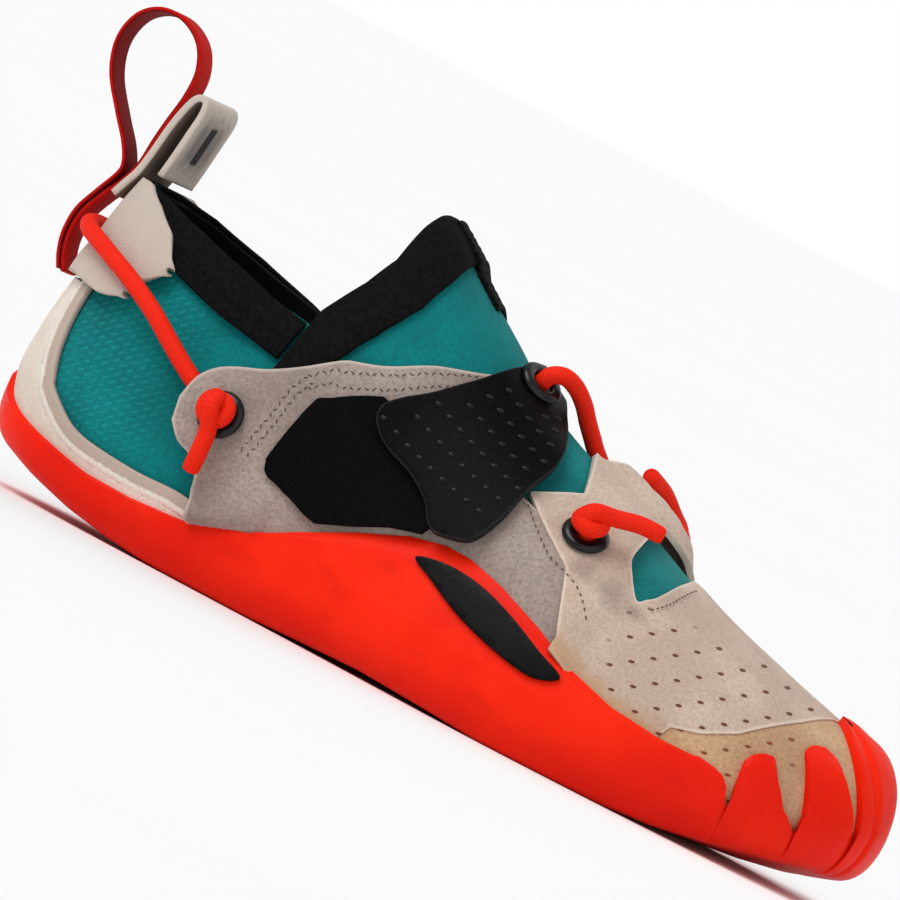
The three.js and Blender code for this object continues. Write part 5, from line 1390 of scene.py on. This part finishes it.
def ribbon(points, thickness, width, edge=0.4):
    """A folded strip in the middle plane of the heel, with rounded edges."""
    line = strip_line(points)
    ways = np.gradient(line, axis=0)
    ways /= np.linalg.norm(ways, axis=1, keepdims=True)
    across = np.stack([-ways[:, 2], 0 * ways[:, 0], ways[:, 0]], -1)
    half, wide = thickness / 2, width / 2
    ring = []
    for sx, sy, start in ((1, 1, 0), (-1, 1, 90), (-1, -1, 180), (1, -1, 270)):
        for angle in range(0, 91, 30):
            a = math.radians(start + angle)
            ring.append((sx * (half - edge) + edge * math.cos(a), sy * (wide - edge) + edge * math.sin(a)))
        ring += [(ring[-1][0], 0)] if start in (90, 270) else []
    ring = np.array(ring + [ring[0]])
    last, turns = len(line) - 1, len(ring) - 1

    def at(u, v):
        index = np.clip(np.round(u * last).astype(int), 0, last)
        corner = ring[np.clip(np.round(v * turns).astype(int), 0, turns)]
        return line[index] + across[index] * corner[:, :1] + np.array([0, 1, 0]) * corner[:, 1:]
    bm = woven(last, turns, at)
    bmesh.ops.holes_fill(bm, edges=open_edges(bm), sides=turns)
    bmesh.ops.recalc_face_normals(bm, faces=bm.faces)
    return bm


def tab_shade_and_marks(tree, spots, colour, height):
    """Inner faces of the fold painted darker brown as shade, and a dark slot with rubbed dirt round it in
    the front face.
    """
    split = node(tree, "SeparateXYZ", node(tree, "UVMap", uv_map="UVMap").outputs[0])
    along, around = split.outputs[0], split.outputs[1]
    # Painted shade: the fold's inner faces, which face each other, are painted darker brown.
    shaded_inner_face = maths(tree, "COMPARE", around, 8 / 18, 1 / 18)
    colour = blend(tree, shaded_inner_face, colour, tone(120, 100, 88))
    across = maths(tree, "ABSOLUTE", maths(tree, "SUBTRACT", maths(tree, "MULTIPLY", around, 18.0), 17.0))
    down = maths(tree, "ABSOLUTE", maths(tree, "SUBTRACT", along, 0.8))
    ragged = node(tree, "TexNoise", spots, None, 500.0, 4.0).outputs[0]
    near = maths(tree, "ADD", maths(tree, "MULTIPLY", down, 3.0), maths(tree, "MULTIPLY", ragged, 0.5))
    dirt = maths(tree, "MULTIPLY", spread(tree, near, 0.4, 0.8, 1.0, 0.0),
                 spread(tree, across, 0.5, 1.0, 0.7, 0.0))
    colour = blend(tree, dirt, colour, tone(92, 84, 80))
    slot = maths(tree, "MULTIPLY", spread(tree, across, 0.16, 0.22, 1.0, 0.0),
                 spread(tree, down, 0.085, 0.1, 1.0, 0.0))
    colour = blend(tree, slot, colour, tone(14, 12, 12))
    return colour, maths(tree, "SUBTRACT", height, maths(tree, "MULTIPLY", slot, 4.0))


tab_suede = suede_finish("tab_suede", tone(192, 175, 160), tone(164, 147, 133), tone(208, 194, 182), 0.5)
folded_suede = suede_finish("folded_tab_suede", tone(196, 182, 168), tone(170, 154, 140),
                            tone(214, 202, 190), 0.45, tab_shade_and_marks)
heel_tab = ribbon([[3.7, 61.5], [4.9, 64.3], [6.3, 67.6], [7.2, 72], [8.1, 78], [9.3, 83], [10.6, 85.7],
                   [12.4, 85.9], [13, 83.6], [12.5, 79], [11.7, 73], [11, 68.6]], 1.5, 18)
add_piece("heel_tab_suede", heel_tab, folded_suede, ["heel_tab"])

webbing, tree, shader = material("red_webbing", 0.75, Specular_IOR_Level=0.12)
split = node(tree, "SeparateXYZ", node(tree, "UVMap", uv_map="UVMap").outputs[0])
weft = maths(tree, "SINE", maths(tree, "MULTIPLY", split.outputs[0], 2 * math.pi * 260))
warp = maths(tree, "SINE", maths(tree, "MULTIPLY", split.outputs[1], 2 * math.pi * 90))
weave = maths(tree, "MULTIPLY", weft, warp)
fuzz = node(tree, "TexNoise", node(tree, "TexCoord").outputs["Object"], None, 1200.0, 3.0)
# Painted shade: the loop's inner face is painted dark red as if in its own shadow; the other faces keep the
# bright red.
shaded_inner_face = maths(tree, "GREATER_THAN", split.outputs[1], 0.72)
face = blend(tree, shaded_inner_face, tone(206, 14, 6), tone(122, 2, 4))
colour = blend(tree, spread(tree, weave, -0.6, 0.6, 0.0, 0.3), face, tone(150, 4, 4))
tree.links.new(blend(tree, spread(tree, fuzz.outputs[0], 0.35, 0.7, 0.0, 0.3), colour, tone(110, 2, 4)),
               shader.inputs["Base Color"])
relief(tree, shader, maths(tree, "ADD", weave, fuzz.outputs[0]), 0.4, 0.0001)
loop_points = [
    [-0.4, 43], [-1.9, 46], [-2.9, 50], [-2.6, 55], [-0.4, 60], [2.2, 64.5], [3.8, 69], [4.3, 74], [5, 79],
    [6, 85], [5.8, 90.5], [3.2, 95.4], [-1.7, 98.2], [-7, 98], [-11, 94.8], [-12.4, 89], [-10.4, 82.5],
    [-5.4, 76], [-1.4, 71.3], [0.7, 67.5], [0.5, 65], [-1.6, 60.5], [-3.8, 55.3], [-4.1, 50.2],
    [-3.1, 46.2], [-1.6, 43.2]]
add_piece("pull_loop_webbing", ribbon(loop_points, 0.95, 7.2, 0.3), webbing, ["pull_loop"])

TAB_WALL = 1.4
heel_tabs = {
    "middle": ([[0, 0.61, 0.77], [1.4, 0.61, 0.77], [2, 0.585, 0.735], [2.5, 0.555, 0.69],
                [2.75, 0.575, 0.65]], 2.0),
    "lower": ([[0, 0.5, 0.6], [1.1, 0.51, 0.6], [2, 0.495, 0.575], [2.4, 0.505, 0.54]], 1.9),
}
for tab, (table, inner) in heel_tabs.items():
    table = np.array(table)

    def tab_skin(u, v, table=table, inner=inner):
        turned = np.sin((u - 0.5) * math.pi)
        row = np.abs(turned) * table[-1, 0]
        foot, head = np.interp(row, table[:, 0], table[:, 1]), np.interp(row, table[:, 0], table[:, 2])
        round_end = np.sqrt(np.maximum(1 - np.clip((np.abs(turned) - 0.88) / 0.12, 0, 1) ** 2, 0.002))
        height = (foot + head) / 2 + (head - foot) * (v - 0.5) * round_end
        place = np.mod(np.where(turned < 0, ROUND - row, row), ROUND)
        return skin(place, level_at(place, height * ANKLE), inner + 0.3 * np.sin(math.pi * v))
    made = add_piece("heel_tab_%s_suede" % tab, woven(160, 14, tab_skin), tab_suede,
                     ["heel_tab_" + tab])
    walled(made, TAB_WALL, 1)

# Plate
# A lens-shaped inset of dark moulded plastic lies on the outer side of the rubber. It is bare.
plate_outline = rounded_outline([(6.62, 0.17), (7.0, 0.205), (7.412, 0.205), (7.825, 0.175), (8.225, 0.13),
                                 (8.575, 0.09), (8.338, 0.045), (7.912, 0.055), (7.375, 0.09),
                                 (6.888, 0.14)], 6)
plate_plastic, tree, shader = material("plate_plastic", 0.45, Specular_IOR_Level=0.08)
haze = node(tree, "TexNoise", node(tree, "TexCoord").outputs["Object"], None, 800.0, 3.0)
tree.links.new(blend(tree, haze.outputs[0], tone(4, 4, 5), tone(16, 16, 18)), shader.inputs["Base Color"])
tree.links.new(spread(tree, haze.outputs[0], 0.3, 0.7, 0.35, 0.5), shader.inputs["Roughness"])
plate = fitted(cut_sheet([plate_outline], 0.08, 0.03), lambda place, level: RUBBER + 0.6 + 0 * level)
walled(add_piece("rand_plate_inset", plate, plate_plastic, ["rand_plate"]), 0.6, 1, 0.2)
